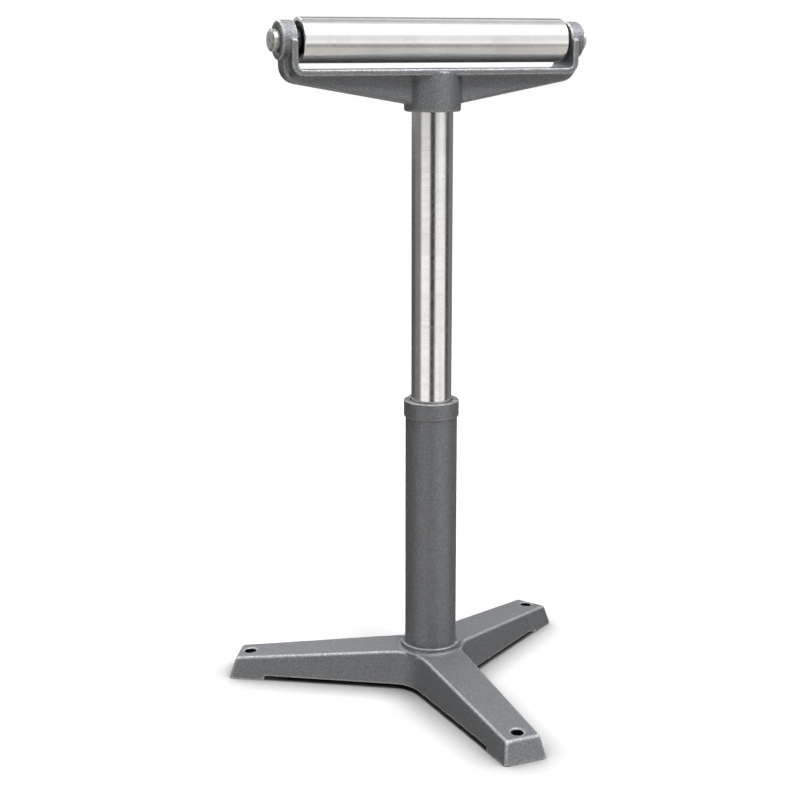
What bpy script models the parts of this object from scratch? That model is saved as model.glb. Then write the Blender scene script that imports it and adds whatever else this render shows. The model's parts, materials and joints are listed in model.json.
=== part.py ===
"""Roller stand: a height-adjustable material support with one free-running roller.

Metres, +Z up. The origin is on the floor, under the middle of the whole stand's outline.
X runs along the roller, one leg of the foot points to -Y, and the clamping lever is on
the +Y side. Everything is modelled round the column's axis and hung on one empty there.
"""

import math

import bmesh
import bpy
from mathutils import Matrix, Vector

# Clearances
TOUCH = 0.0003          # gap kept between meshes that touch
RUNNING = 0.0006        # gap per side between pieces that slide or turn

# Driving dimensions of the head
ROLLER_DIAMETER = 0.0508
ROLLER_LENGTH = 0.330
ROLLER_WALL = 0.0044
ROLLER_EDGE = 0.0012
END_PLAY = 0.007                # between the roller's end and the yoke's upright
AXLE_DIAMETER = 0.025
AXLE_PROUD = 0.0085
AXLE_CHAMFER = 0.0028
AXLE_CHAMFER_SLOPE = 0.7        # length of the chamfer along the axle, as a share of its depth
AXLE_CENTRE_HOLE = 0.0030
BOSS_DIAMETER = 0.044
BOSS_EDGE = 0.0018
BOSS_FACING = 0.0008            # by which the boss's machined inner face stands off the upright
BOSS_RECESS_GAP = 0.0013        # open ring round the axle in the boss's outer face
BOSS_RECESS_DEPTH = 0.0022
PLATE_THICKNESS = 0.0075
PLATE_END_DEPTH = 0.049         # along Y, at the uprights
PLATE_INNER_RADIUS = 0.006
PLATE_OUTER_RADIUS = 0.014
PLATE_EDGE = 0.0015
PLATE_FLAT_ANGLE = math.radians(60)      # of the hub's round that the plate's straight middle covers
PLATE_STATIONS = (0.8, 1.5, 2.4, 3.5)   # places along the plate, in hub radii
ROLLER_TO_PLATE = 0.0062        # gap under the roller
HEAD_OVERHANG = 0.017           # from the upright's inner face to the boss's outer face
RIB_THICKNESS = 0.022
RIB_CORNER_RADIUS = 0.020
RIB_END_DEPTH = 0.0165          # of the rib, below the plate's top, at its ends
RIB_EDGE = 0.004
RIB_SET_BACK = 0.0036           # from the boss's outer face to the rib's
RIB_HUB_RISE = 0.0063           # from the hub's lower face up to the rib
HUB_DIAMETER = 0.066
HUB_HEIGHT = 0.049              # from its lower face to the plate's top
HUB_EDGE = 0.0025
HUB_FLOOR = 0.009               # left above the post's socket
HUB_SCREW_SHARES = (0.27, 0.70) # heights of the set screws, as shares of the hub under the plate
SET_SCREW_DIAMETER = 0.008

# Driving dimensions of the roller's bearings
BEARING_WIDTH = 0.009
BEARING_INSET = 0.0055          # from the roller's end to the bearing
BEARING_RING = 0.0020           # radial thickness of each ring
BALL_DIAMETER = 0.0036
BALL_COUNT = 8
CAP_THICKNESS = 0.0035
CAP_INSET = 0.0010
CAP_DISH = 0.0012
CAP_LAND = 0.0016               # width of the rims inside and outside the dish
CAP_BEVEL = 0.0010
CAGE_WALL = 0.0010
CAGE_WIDTH = 0.0054
SPACER_WALL = 0.0020
SNAP_RING_WIDTH = 0.0012
SNAP_RING_PROUD = 0.0018

# Driving dimensions of the post, the column and what guides them
POST_DIAMETER = 0.0483
POST_WALL = 0.004
POST_ENGAGEMENT = 0.126         # length of post inside the column at rest
POST_EXTENSION = 0.3404         # from the collar's top to the hub at rest
COLUMN_DIAMETER = 0.062
COLUMN_WALL = 0.003
COLLAR_DIAMETER = 0.066
COLLAR_HEIGHT = 0.020
COLLAR_TOP = 0.356              # above the floor
COLLAR_LIP = 0.005              # thickness of its inward lip
COLLAR_MOUTH_GAP = 0.0014       # dark gap round the post
COLLAR_EDGE = 0.0012
BUSH_LENGTH = 0.055
GUIDE_RING_HEIGHT = 0.018
POST_RING_WIDTH = 0.0018
POST_RING_PROUD = 0.0018
POST_RING_DEPTH = 0.0010
POST_RING_OFFSET = 0.003        # from the post's foot to the lower snap ring

# Driving dimensions of the clamping lever
LOCK_SCREW_DIAMETER = 0.010
LOCK_BOSS_DIAMETER = 0.016
LOCK_BOSS_LENGTH = 0.008        # beyond the collar
LOCK_HEAD_DIAMETER = 0.0145
LOCK_HEAD_LENGTH = 0.011
LOCK_ARM_DIAMETER = 0.007
LOCK_ARM_LENGTH = 0.062
LOCK_KNOB_DIAMETER = 0.017
LOCK_KNOB_FLAT = 0.0053         # radius of the flat on its top
LOCK_KNOB_FLOOR = 0.0025        # depth of its bore under its centre
LOCK_PAD_THICKNESS = 0.004
LOCK_BACK_OFF = 0.0012          # room for the lever between its head and the boss

# Driving dimensions of the foot
LEG_COUNT = 3
LEG_REACH = 0.248               # column axis to the toe, at the floor
LEG_ROOT_HEIGHT = 0.045
LEG_TIP_HEIGHT = 0.026
LEG_ROOT_WIDTH = 0.055          # across the top
LEG_TIP_WIDTH = 0.0425
LEG_DRAFT = math.radians(11.0)  # of the side walls
TOE_DRAFT = math.radians(17.0)
LEG_WEB_RADIUS = 0.048          # concave corner between two legs
LEG_EDGE = 0.0025
LEG_WALL = 0.0075
PAD_HEIGHT = 0.0055
PAD_LENGTH = 0.044
FOOT_HOLE_INSET = 0.022         # from the toe to the bolt hole's centre
FOOT_HOLE_DIAMETER = 0.014
FOOT_HOLE_CHAMFER = 0.0010
BASE_RING_DIAMETER = 0.072
BASE_RING_HEIGHT = 0.0075
BASE_RING_FILLET = 0.0028
SOCKET_FLOOR = 0.010            # height of the ledge that the column stands on
SOCKET_LEDGE = 0.006

# Derived sizes of the head
ROLLER_RADIUS = ROLLER_DIAMETER / 2
ROLLER_BORE = ROLLER_RADIUS - ROLLER_WALL
HALF_ROLLER = ROLLER_LENGTH / 2
UPRIGHT_FACE = HALF_ROLLER + END_PLAY
BOSS_FACE = UPRIGHT_FACE + HEAD_OVERHANG
AXLE_END = BOSS_FACE + AXLE_PROUD
AXLE_RADIUS = AXLE_DIAMETER / 2
HUB_BOTTOM = COLLAR_TOP + POST_EXTENSION
PLATE_TOP = HUB_BOTTOM + HUB_HEIGHT
ROLLER_AXIS_HEIGHT = PLATE_TOP + ROLLER_TO_PLATE + ROLLER_RADIUS
HUB_RADIUS = HUB_DIAMETER / 2

# Derived sizes of the post and column
POST_RADIUS = POST_DIAMETER / 2
POST_BORE = POST_RADIUS - POST_WALL
POST_TOP = PLATE_TOP - HUB_FLOOR - TOUCH
COLUMN_RADIUS = COLUMN_DIAMETER / 2
COLUMN_BORE = COLUMN_RADIUS - COLUMN_WALL
COLLAR_RADIUS = COLLAR_DIAMETER / 2
COLLAR_BOTTOM = COLLAR_TOP - COLLAR_HEIGHT
COLUMN_TOP = COLLAR_TOP - COLLAR_LIP - TOUCH
POST_BOTTOM = COLLAR_TOP - POST_ENGAGEMENT
GUIDE_BOTTOM = POST_BOTTOM + POST_RING_OFFSET + POST_RING_WIDTH + TOUCH
GUIDE_TOP = GUIDE_BOTTOM + GUIDE_RING_HEIGHT
LOCK_HEIGHT = COLLAR_BOTTOM + (LOCK_BOSS_DIAMETER + COLLAR_EDGE) / 2

# Derived place of the floor-bolt holes: distance from the column's axis
FOOT_HOLE_RADIUS = LEG_REACH - FOOT_HOLE_INSET

# Place of the column's axis, so that the stand's outline is centred on the origin
TOE_HALF = LEG_TIP_WIDTH / 2 + LEG_TIP_HEIGHT * math.tan(LEG_DRAFT)
REAR_ANGLE = math.pi / 2 - math.pi / LEG_COUNT
REAR_REACH = (LEG_REACH * math.sin(REAR_ANGLE) + TOE_HALF * math.cos(REAR_ANGLE)
              - LEG_EDGE * (math.sin(REAR_ANGLE) + math.cos(REAR_ANGLE) - 1))
COLUMN_Y = (LEG_REACH - REAR_REACH) / 2

# Segments of round pieces
ROUND_LARGE = 40
ROUND_MEDIUM = 28
ROUND_FINE = 24
ROUND_SMALL = 16
ROUND_TINY = 8
WEB_STEPS = 4           # of half the concave arc between two legs

SIDES = ((-1, "left"), (1, "right"))
ROUND_MIDDLE = 1 - math.sqrt(0.5)   # middle of a quarter round, in from its corner, in radii
NEARLY = 0.9                        # share of a length that tells the long edges from the short

PAINT = ("paint_grey", (0.13, 0.135, 0.14), 0.5, 0.0)
POST_STEEL = ("ground_steel", (0.70, 0.69, 0.67), 0.25, 1.0)
DARK_STEEL = ("dark_steel", (0.20, 0.20, 0.21), 0.4, 1.0)
BEARING_STEEL = ("bearing_steel", (0.60, 0.60, 0.61), 0.2, 1.0)
BLACK_PLASTIC = ("black_plastic", (0.012, 0.012, 0.013), 0.5, 0.0)
BUSH_PLASTIC = ("bush_plastic", (0.55, 0.54, 0.50), 0.5, 0.0)
BRASS = ("brass", (0.62, 0.46, 0.20), 0.35, 1.0)


def clear_scene():
    """Remove every object that the file starts with."""
    for item in list(bpy.data.objects):
        bpy.data.objects.remove(item, do_unlink=True)


def new_collection(name):
    """Make a collection and link it to the scene."""
    collection = bpy.data.collections.new(name)
    bpy.context.scene.collection.children.link(collection)
    return collection


def part_material(node, finish):
    """A Principled material for one sub-part, from a (name, colour, roughness, metallic) finish."""
    kind, colour, roughness, metallic = finish
    material = bpy.data.materials.new(f"{node}_{kind}")
    material.use_nodes = True
    shader = material.node_tree.nodes["Principled BSDF"]
    shader.inputs["Base Color"].default_value = (*colour, 1.0)
    shader.inputs["Roughness"].default_value = roughness
    shader.inputs["Metallic"].default_value = metallic
    material.diffuse_color = (*colour, 1.0)
    return material


def link_part(item, finish):
    """Put a finished sub-part in the stand's collection with its own material."""
    PARTS.objects.link(item)
    item.parent = COLUMN_AXIS
    item.data.materials.clear()
    item.data.materials.append(part_material(item.name, finish))
    item.data.shade_smooth()
    item.data.set_sharp_from_angle(angle=math.radians(35))
    return item


def link_cutter(item):
    """Put a helper solid in the cutters' collection, out of sight."""
    CUTTERS.objects.link(item)
    item.parent = COLUMN_AXIS
    item.hide_render = True
    item.display_type = "WIRE"
    return item


def boolean(target, tool, operation, solver="EXACT"):
    """Add a live Boolean of the tool to the target."""
    modifier = target.modifiers.new(f"{operation.lower()}_{tool.name}", "BOOLEAN")
    modifier.operation = operation
    modifier.solver = solver
    modifier.object = tool
    return target


def cut(target, tool, solver="EXACT"):
    """Take the tool's volume out of the target."""
    return boolean(target, tool, "DIFFERENCE", solver)


def join(target, tool):
    """Add the tool's volume to the target."""
    return boolean(target, tool, "UNION")


def round_edges(item, width, segments=2, angle=30):
    """Round the edges that are sharper than the angle."""
    bevel = item.modifiers.new("round_edges", "BEVEL")
    bevel.width = width
    bevel.segments = segments
    bevel.limit_method = "ANGLE"
    bevel.angle_limit = math.radians(angle)
    bevel.use_clamp_overlap = True
    return item


def round_marked_edges(item, width, segments, is_marked):
    """Round the edges that the test picks, given each edge's two end points."""
    mesh = item.data
    weights = mesh.attributes.new("bevel_weight_edge", "FLOAT", "EDGE")
    for edge in mesh.edges:
        ends = [mesh.vertices[index].co for index in edge.vertices]
        weights.data[edge.index].value = 1.0 if is_marked(*ends) else 0.0
    bevel = item.modifiers.new("round_edges", "BEVEL")
    bevel.width = width
    bevel.segments = segments
    bevel.limit_method = "WEIGHT"
    return item


def mesh_object(name, points, faces=(), edges=()):
    """Make an unlinked object from points and faces, or from points and edges."""
    mesh = bpy.data.meshes.new(name)
    mesh.from_pydata([tuple(point) for point in points], list(edges), list(faces))
    mesh.validate()
    return bpy.data.objects.new(name, mesh)


def turned(name, profile, segments, ring=True):
    """Turn a profile of (radius, height) pairs round the local Z axis with a Screw.

    The profile runs down the outer side. A ring's profile closes on itself up the bore;
    a solid's starts and ends on the axis.
    """
    points = [(radius, 0.0, height) for radius, height in profile]
    edges = [(index, index + 1) for index in range(len(points) - 1)]
    if ring:
        edges.append((len(points) - 1, 0))
    item = mesh_object(name, points, edges=edges)
    screw = item.modifiers.new("turn", "SCREW")
    screw.axis = "Z"
    screw.steps = segments
    screw.render_steps = segments
    screw.use_merge_vertices = True
    screw.merge_threshold = 0.00002
    return item


def tube_profile(outer, inner, low, high, edge=0.0):
    """Profile of a plain tube, with its outer edges chamfered if an edge is given."""
    if edge == 0.0:
        return [(outer, high), (outer, low), (inner, low), (inner, high)]
    return [
        (outer - edge, high), (outer, high - edge), (outer, low + edge),
        (outer - edge, low), (inner, low), (inner, high),
    ]


def rod_profile(radius, low, high, edge=0.0):
    """Profile of a solid rod, with chamfered ends if an edge is given."""
    if edge == 0.0:
        return [(0.0, high), (radius, high), (radius, low), (0.0, low)]
    return [
        (0.0, high), (radius - edge, high), (radius, high - edge),
        (radius, low + edge), (radius - edge, low), (0.0, low),
    ]


def along_x(item, x=0.0, height=0.0):
    """Lay a turned piece along X, so that its local height becomes X."""
    item.rotation_euler = (0.0, math.pi / 2, 0.0)
    item.location = (x, 0.0, height)
    return item


def along_y(item, y=0.0, height=0.0, x=0.0):
    """Lay a turned piece along Y, so that its local height becomes Y."""
    item.rotation_euler = (-math.pi / 2, 0.0, 0.0)
    item.location = (x, y, height)
    return item


def arc_points(centre, radius, start, end, count):
    """Points on an arc between two angles in degrees, ends included."""
    angles = [math.radians(start + (end - start) * step / count) for step in range(count + 1)]
    return [(centre[0] + radius * math.cos(a), centre[1] + radius * math.sin(a)) for a in angles]


def leg_angles():
    """Directions of the legs, the first one towards -Y."""
    return [math.radians(-90 + index * 360 / LEG_COUNT) for index in range(LEG_COUNT)]


def foot_outline(level, height_at):
    """Outline of the foot at a level above the floor, and the height given to each point.

    Side walls spread with depth below the top by the draft. Between two legs runs a
    concave arc that is tangent to both. The points go round once, leg by leg.
    """
    half_pitch = math.pi / LEG_COUNT
    points = []
    for direction in leg_angles():
        for side in (-1, 1):
            root_drop = LEG_ROOT_HEIGHT - level(LEG_ROOT_HEIGHT)
            tip_drop = LEG_TIP_HEIGHT - level(LEG_TIP_HEIGHT)
            root_half = LEG_ROOT_WIDTH / 2 + root_drop * math.tan(LEG_DRAFT)
            tip_half = LEG_TIP_WIDTH / 2 + tip_drop * math.tan(LEG_DRAFT)
            web = LEG_WEB_RADIUS - root_drop * math.tan(LEG_DRAFT)
            reach = LEG_REACH - (LEG_TIP_HEIGHT - tip_drop) * math.tan(TOE_DRAFT)
            tip = foot_point(direction, reach, side * tip_half, height_at(LEG_TIP_HEIGHT))
            arc = web_arc(direction, side, half_pitch, root_half, web, height_at(LEG_ROOT_HEIGHT))
            points += arc + [tip] if side < 0 else [tip] + arc
    return points


def foot_point(direction, along, across, height):
    """A point on a leg: a distance along it, to its left, and above the floor."""
    cosine = math.cos(direction)
    sine = math.sin(direction)
    return (along * cosine - across * sine, along * sine + across * cosine, height)


def web_arc(direction, side, half_pitch, root_half, web, height):
    """Half of the concave arc between a leg and its neighbour on one side.

    It ends on the leg for a side of 1 and starts from the middle, so that two legs share
    the middle point: the half on the side of -1 leaves the middle point out.
    """
    centre_distance = (root_half + web) / math.sin(half_pitch)
    middle = direction + side * half_pitch
    centre = (centre_distance * math.cos(middle), centre_distance * math.sin(middle))
    half_turn = math.pi / 2 - half_pitch
    points = []
    for step in range(WEB_STEPS + 1):
        turn = half_turn * step / WEB_STEPS
        angle = middle + math.pi + side * turn
        points.append((centre[0] + web * math.cos(angle), centre[1] + web * math.sin(angle), height))
    if side < 0:
        return points[1:]
    return points[::-1]


def foot_body():
    """Drafted body of the three legs: a loft from the floor to the sloping tops."""
    low = foot_outline(lambda top: 0.0, lambda top: 0.0)
    high = foot_outline(lambda top: top, lambda top: top)
    count = len(low)
    per_leg = count // LEG_COUNT
    sides = [(i, (i + 1) % count, count + (i + 1) % count, count + i) for i in range(count)]
    bottom = tuple(reversed(range(count)))
    centre = []
    tops = []
    for leg in range(LEG_COUNT):
        first = leg * per_leg
        root_right = count + first + WEB_STEPS - 1
        tips = [root_right + 1, root_right + 2]
        root_left = root_right + 3
        tops.append((root_right, tips[0], tips[1], root_left))
        centre += list(range(count + first, root_right + 1))
        centre += list(range(root_left, count + first + per_leg))
    return mesh_object("base_casting", low + high, sides + [bottom, tuple(centre)] + tops)


def is_foot_edge(first, second):
    """True for the edges round the foot's top and up the toes' corners."""
    toe = LEG_REACH * NEARLY
    if min(first.z, second.z) == 0.0:
        return max(first.z, second.z) > 0.0 and first.xy.length > toe
    across_leg = abs(first.z - second.z) < TOUCH and first.xy.length < toe
    return not (across_leg and is_leg_root(first, second))


def is_leg_root(first, second):
    """True for the edge across a leg's top where its slope starts."""
    return (first - second).length > LEG_ROOT_WIDTH * NEARLY


def wedge(name, sections, direction):
    """A drafted block along a leg, lofted through (along, low half, high half, low, high) sections."""
    points = []
    for along, low_half, high_half, low, high in sections:
        for across, height in ((-low_half, low), (low_half, low), (high_half, high), (-high_half, high)):
            points.append(foot_point(direction, along, across, height))
    faces = [(3, 2, 1, 0)]
    for index in range(len(sections) - 1):
        start = 4 * index
        for corner in range(4):
            following = (corner + 1) % 4
            faces.append((start + corner, start + following, start + 4 + following, start + 4 + corner))
    last = 4 * (len(sections) - 1)
    faces.append((last, last + 1, last + 2, last + 3))
    item = mesh_object(name, points, faces)
    outward(item)
    return item


def outward(item):
    """Turn a mesh's faces outwards."""
    mesh = bmesh.new()
    mesh.from_mesh(item.data)
    bmesh.ops.recalc_face_normals(mesh, faces=mesh.faces[:])
    mesh.to_mesh(item.data)
    mesh.free()


def leg_hollow(index, direction):
    """Cutter for the open underside of one leg, which leaves a wall and a solid toe."""
    start = BASE_RING_DIAMETER / 2 + LEG_WALL
    end = LEG_REACH - PAD_LENGTH - LEG_WALL
    slope = (LEG_ROOT_HEIGHT - LEG_TIP_HEIGHT) / LEG_REACH
    narrowing = (LEG_ROOT_WIDTH - LEG_TIP_WIDTH) / 2 / LEG_REACH
    below = PAD_HEIGHT / 2
    sections = []
    for along in (start, end):
        roof = LEG_ROOT_HEIGHT - slope * along - LEG_WALL
        high_half = LEG_ROOT_WIDTH / 2 - narrowing * along - LEG_WALL + LEG_WALL * math.tan(LEG_DRAFT)
        low_half = high_half + (roof - below) * math.tan(LEG_DRAFT)
        sections.append((along, low_half, high_half, below, roof))
    return link_cutter(wedge(f"leg_hollow_{index}", sections, direction))


def relief_prism():
    """Cutter under the foot: a prism with one flat across each leg, so that only the toes touch."""
    mesh = bmesh.new()
    inner = LEG_REACH - PAD_LENGTH
    corner = inner / math.cos(math.pi / LEG_COUNT)
    bmesh.ops.create_cone(mesh, cap_ends=True, segments=LEG_COUNT, radius1=corner, radius2=corner,
                          depth=2 * PAD_HEIGHT)
    data = bpy.data.meshes.new("toe_relief")
    mesh.to_mesh(data)
    mesh.free()
    first = Vector(data.vertices[0].co[:2])
    wanted = leg_angles()[0] + math.pi / LEG_COUNT
    data.transform(Matrix.Rotation(wanted - math.atan2(first.y, first.x), 4, "Z"))
    return link_cutter(bpy.data.objects.new("toe_relief", data))


def leg_top_height(along):
    """Height of a leg's top at a distance from the column's axis."""
    root = (LEG_ROOT_WIDTH / 2 + LEG_WEB_RADIUS) / math.tan(math.pi / LEG_COUNT)
    tip = LEG_REACH - LEG_TIP_HEIGHT * math.tan(TOE_DRAFT)
    return LEG_ROOT_HEIGHT + (LEG_TIP_HEIGHT - LEG_ROOT_HEIGHT) * (along - root) / (tip - root)


def foot_hole(index, direction):
    """Cutter for one floor-bolt hole, with a chamfer where it leaves the leg's top."""
    radius = FOOT_HOLE_DIAMETER / 2
    top = leg_top_height(FOOT_HOLE_RADIUS)
    rise = PAD_HEIGHT
    profile = [
        (0.0, top + rise), (radius + FOOT_HOLE_CHAMFER + rise, top + rise),
        (radius, top - FOOT_HOLE_CHAMFER), (radius, -rise), (0.0, -rise),
    ]
    item = turned(f"foot_hole_{index}", profile, ROUND_SMALL, ring=False)
    item.location = foot_point(direction, FOOT_HOLE_RADIUS, 0.0, 0.0)
    return link_cutter(item)


def base_ring():
    """Socket tube of the foot, with the raised ring and its fillet round the column."""
    ring = BASE_RING_DIAMETER / 2
    top = LEG_ROOT_HEIGHT + BASE_RING_HEIGHT
    edge = COLLAR_EDGE
    fillet = arc_points((ring + BASE_RING_FILLET, LEG_ROOT_HEIGHT + BASE_RING_FILLET),
                        BASE_RING_FILLET, 180, 262, 3)
    skirt = ring + BASE_RING_FILLET
    profile = [(0.0, top), (ring - edge, top), (ring, top - edge)] + fillet
    profile += [(skirt, LEG_ROOT_HEIGHT - LEG_EDGE), (skirt, PAD_HEIGHT / 2), (0.0, PAD_HEIGHT / 2)]
    return link_cutter(turned("base_ring", profile, ROUND_LARGE, ring=False))


def column_socket():
    """Cutter for the column's socket, with a smaller hole under its ledge."""
    bore = COLUMN_RADIUS + TOUCH
    top = LEG_ROOT_HEIGHT + 2 * BASE_RING_HEIGHT
    hole = bore - SOCKET_LEDGE
    profile = [(0.0, top), (bore, top), (bore, SOCKET_FLOOR), (hole, SOCKET_FLOOR),
               (hole, -PAD_HEIGHT), (0.0, -PAD_HEIGHT)]
    return link_cutter(turned("column_socket", profile, ROUND_LARGE, ring=False))


def make_base():
    """The cast foot: legs, ring, socket, hollow undersides, pads and bolt holes."""
    body = foot_body()
    outward(body)
    round_marked_edges(body, LEG_EDGE, 3, is_foot_edge)
    join(body, base_ring())
    cut(body, relief_prism())
    for index, direction in enumerate(leg_angles()):
        cut(body, leg_hollow(index, direction))
        cut(body, foot_hole(index, direction))
    cut(body, column_socket())
    return link_part(body, PAINT)


def make_column():
    """Painted tube that stands on the socket's ledge, with the lock screw's hole."""
    low = SOCKET_FLOOR + TOUCH
    column = turned("column_tube", tube_profile(COLUMN_RADIUS, COLUMN_BORE, low, COLUMN_TOP), ROUND_LARGE)
    cut(column, lock_hole("column"))
    return link_part(column, PAINT)


def lock_hole(owner):
    """Cutter for the lock screw's hole, from inside the post's wall to beyond the boss."""
    radius = LOCK_SCREW_DIAMETER / 2 + TOUCH
    end = COLLAR_RADIUS + LOCK_BOSS_LENGTH
    item = turned(f"lock_hole_{owner}", rod_profile(radius, POST_BORE, 2 * end), ROUND_SMALL, ring=False)
    return link_cutter(along_y(item, height=LOCK_HEIGHT))


def make_collar():
    """Ring on the column's top: a skirt outside the tube, a lip over it and the lock's boss."""
    skirt = COLUMN_RADIUS + TOUCH
    mouth = POST_RADIUS + COLLAR_MOUTH_GAP
    lip = COLLAR_TOP - COLLAR_LIP
    edge = COLLAR_EDGE
    profile = [
        (COLLAR_RADIUS - edge, COLLAR_TOP), (COLLAR_RADIUS, COLLAR_TOP - edge),
        (COLLAR_RADIUS, COLLAR_BOTTOM + edge), (COLLAR_RADIUS - edge, COLLAR_BOTTOM),
        (skirt, COLLAR_BOTTOM), (skirt, lip), (mouth, lip), (mouth, COLLAR_TOP),
    ]
    collar = turned("column_collar", profile, ROUND_LARGE)
    end = COLLAR_RADIUS + LOCK_BOSS_LENGTH
    boss = turned("lock_boss", rod_profile(LOCK_BOSS_DIAMETER / 2, skirt + edge, end, COLLAR_EDGE),
                  ROUND_SMALL, ring=False)
    join(collar, link_cutter(along_y(boss, height=LOCK_HEIGHT)))
    cut(collar, lock_hole("collar"))
    return link_part(collar, PAINT)


def make_guides():
    """Bush in the column's mouth and ring at the post's foot, each a running fit on the post."""
    bore = POST_RADIUS + TOUCH
    outer = COLUMN_BORE - TOUCH
    top = COLLAR_TOP - COLLAR_LIP - TOUCH
    bush = turned("guide_bush", tube_profile(outer, bore, top - BUSH_LENGTH, top), ROUND_LARGE)
    cut(bush, lock_hole("bush"))
    link_part(bush, BUSH_PLASTIC)
    ring = turned("guide_ring", tube_profile(outer, bore, GUIDE_BOTTOM, GUIDE_TOP), ROUND_LARGE)
    link_part(ring, BUSH_PLASTIC)


def snap_ring_grooves():
    """Heights of the lower faces of the two snap rings on the post."""
    return [POST_BOTTOM + POST_RING_OFFSET, GUIDE_TOP + TOUCH]


def make_post():
    """Ground tube with a chamfered foot and a groove for each snap ring."""
    edge = POST_WALL / 4
    bottom = POST_RADIUS - POST_RING_DEPTH
    outer = [(POST_RADIUS, POST_TOP)]
    for height in reversed(snap_ring_grooves()):
        low = height - TOUCH
        high = height + POST_RING_WIDTH + TOUCH
        outer += [(POST_RADIUS, high), (bottom, high), (bottom, low), (POST_RADIUS, low)]
    outer += [(POST_RADIUS, POST_BOTTOM + edge), (POST_RADIUS - edge, POST_BOTTOM)]
    post = turned("post_tube", outer + [(POST_BORE, POST_BOTTOM), (POST_BORE, POST_TOP)], ROUND_LARGE)
    return link_part(post, POST_STEEL)


def make_post_snap_rings():
    """Two snap rings that hold the guide ring on the post."""
    inner = POST_RADIUS - POST_RING_DEPTH + TOUCH
    outer = POST_RADIUS + POST_RING_PROUD
    for word, low in zip(("lower", "upper"), snap_ring_grooves()):
        profile = tube_profile(outer, inner, low, low + POST_RING_WIDTH)
        link_part(turned(f"post_snap_ring_{word}", profile, ROUND_FINE), DARK_STEEL)


def path_with_corner(inner, end_x, end_z, radius, steps):
    """Right half of a U-shaped path: along the plate, round the corner and up the upright."""
    centre = (end_x - radius, inner + radius)
    return [(0.0, inner)] + arc_points(centre, radius, -90, 0, steps) + [(end_x, end_z)]


def plate_half_depth(x):
    """Half of the plate's depth along Y: as deep as the hub in the middle, narrower at the ends."""
    flat = HUB_RADIUS * math.sin(PLATE_FLAT_ANGLE)
    end = PLATE_END_DEPTH / 2
    if x <= flat:
        return HUB_RADIUS - PLATE_EDGE
    share = min(1.0, (x - flat) / (UPRIGHT_FACE - flat))
    return HUB_RADIUS - PLATE_EDGE + (end - HUB_RADIUS + PLATE_EDGE) * math.sin(share * math.pi / 2)


def bent_plate():
    """The yoke's bent plate: a rectangle carried along a U, as deep as the place asks for."""
    steps = 5
    top = PLATE_TOP
    bottom = PLATE_TOP - PLATE_THICKNESS
    end_z = ROLLER_AXIS_HEIGHT + PLATE_EDGE
    inner = path_with_corner(top, UPRIGHT_FACE, end_z, PLATE_INNER_RADIUS, steps)
    outer = path_with_corner(bottom, UPRIGHT_FACE + PLATE_THICKNESS, end_z, PLATE_OUTER_RADIUS, steps)
    stations = [HUB_RADIUS * share for share in PLATE_STATIONS]
    inner = inner[:1] + [(x, top) for x in stations] + inner[1:]
    outer = outer[:1] + [(x, bottom) for x in stations] + outer[1:]
    pairs = list(zip(inner, outer))
    pairs = [((-a[0], a[1]), (-b[0], b[1])) for a, b in pairs[:0:-1]] + pairs
    points = []
    for near, far in pairs:
        half = plate_half_depth(abs(near[0]))
        for x, z in (near, far):
            points += [(x, -half, z), (x, half, z)]
    faces = [(0, 1, 3, 2)]
    order = (0, 2, 3, 1)
    for index in range(len(pairs) - 1):
        start = 4 * index
        for corner in range(4):
            first = order[corner]
            second = order[(corner + 1) % 4]
            faces.append((start + first, start + second, start + 4 + second, start + 4 + first))
    last = 4 * (len(pairs) - 1)
    faces.append((last + 2, last + 3, last + 1, last))
    item = mesh_object("yoke_casting", points, faces)
    outward(item)
    return round_edges(item, PLATE_EDGE, segments=2, angle=50)


def rib_outline():
    """Right half of the rib's outline in XZ: hub to the corner, up to the boss and back inside."""
    corner = RIB_CORNER_RADIUS
    low_end = PLATE_TOP - RIB_END_DEPTH
    low_hub = HUB_BOTTOM + RIB_HUB_RISE
    side = BOSS_FACE - RIB_SET_BACK
    slope = (low_end - low_hub) / (side - corner - HUB_RADIUS)
    low_middle = low_hub - slope * HUB_RADIUS / 2
    start = -90 + math.degrees(math.atan(slope))
    arc = arc_points((side - corner, low_end + corner), corner, start, 0, 5)
    inside = UPRIGHT_FACE + PLATE_THICKNESS / 2
    roof = PLATE_TOP - PLATE_THICKNESS / 2
    high = ROLLER_AXIS_HEIGHT - BOSS_DIAMETER / 4
    return [(0.0, low_middle)] + arc + [(side, high), (inside, high), (inside, roof), (0.0, roof)]


def rib():
    """The rib under the plate and outside the uprights, extruded across Y with rounded edges."""
    half = RIB_THICKNESS / 2
    right = rib_outline()
    outline = right[:-1] + [(-x, z) for x, z in right[-2:0:-1]]
    count = len(outline)
    points = [(x, -half, z) for x, z in outline] + [(x, half, z) for x, z in outline]
    faces = [(i, (i + 1) % count, count + (i + 1) % count, count + i) for i in range(count)]
    faces += [tuple(range(count)), tuple(reversed(range(count, 2 * count)))]
    item = mesh_object("yoke_rib", points, faces)
    outward(item)
    return link_cutter(round_edges(item, RIB_EDGE, segments=2, angle=50))


def yoke_boss(side):
    """One cylindrical boss for the axle, from inside the upright's wall to its outer face."""
    radius = BOSS_DIAMETER / 2
    edge = BOSS_EDGE
    middle = edge * ROUND_MIDDLE
    low = UPRIGHT_FACE - BOSS_FACING
    profile = [(0.0, BOSS_FACE), (radius - edge, BOSS_FACE), (radius - middle, BOSS_FACE - middle),
               (radius, BOSS_FACE - edge), (radius, low + edge / 2), (radius - edge / 2, low), (0.0, low)]
    if side < 0:
        profile = [(r, -z) for r, z in reversed(profile)]
    item = turned(f"yoke_boss_{side}", profile, ROUND_MEDIUM, ring=False)
    return link_cutter(along_x(item, height=ROLLER_AXIS_HEIGHT))


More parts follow.
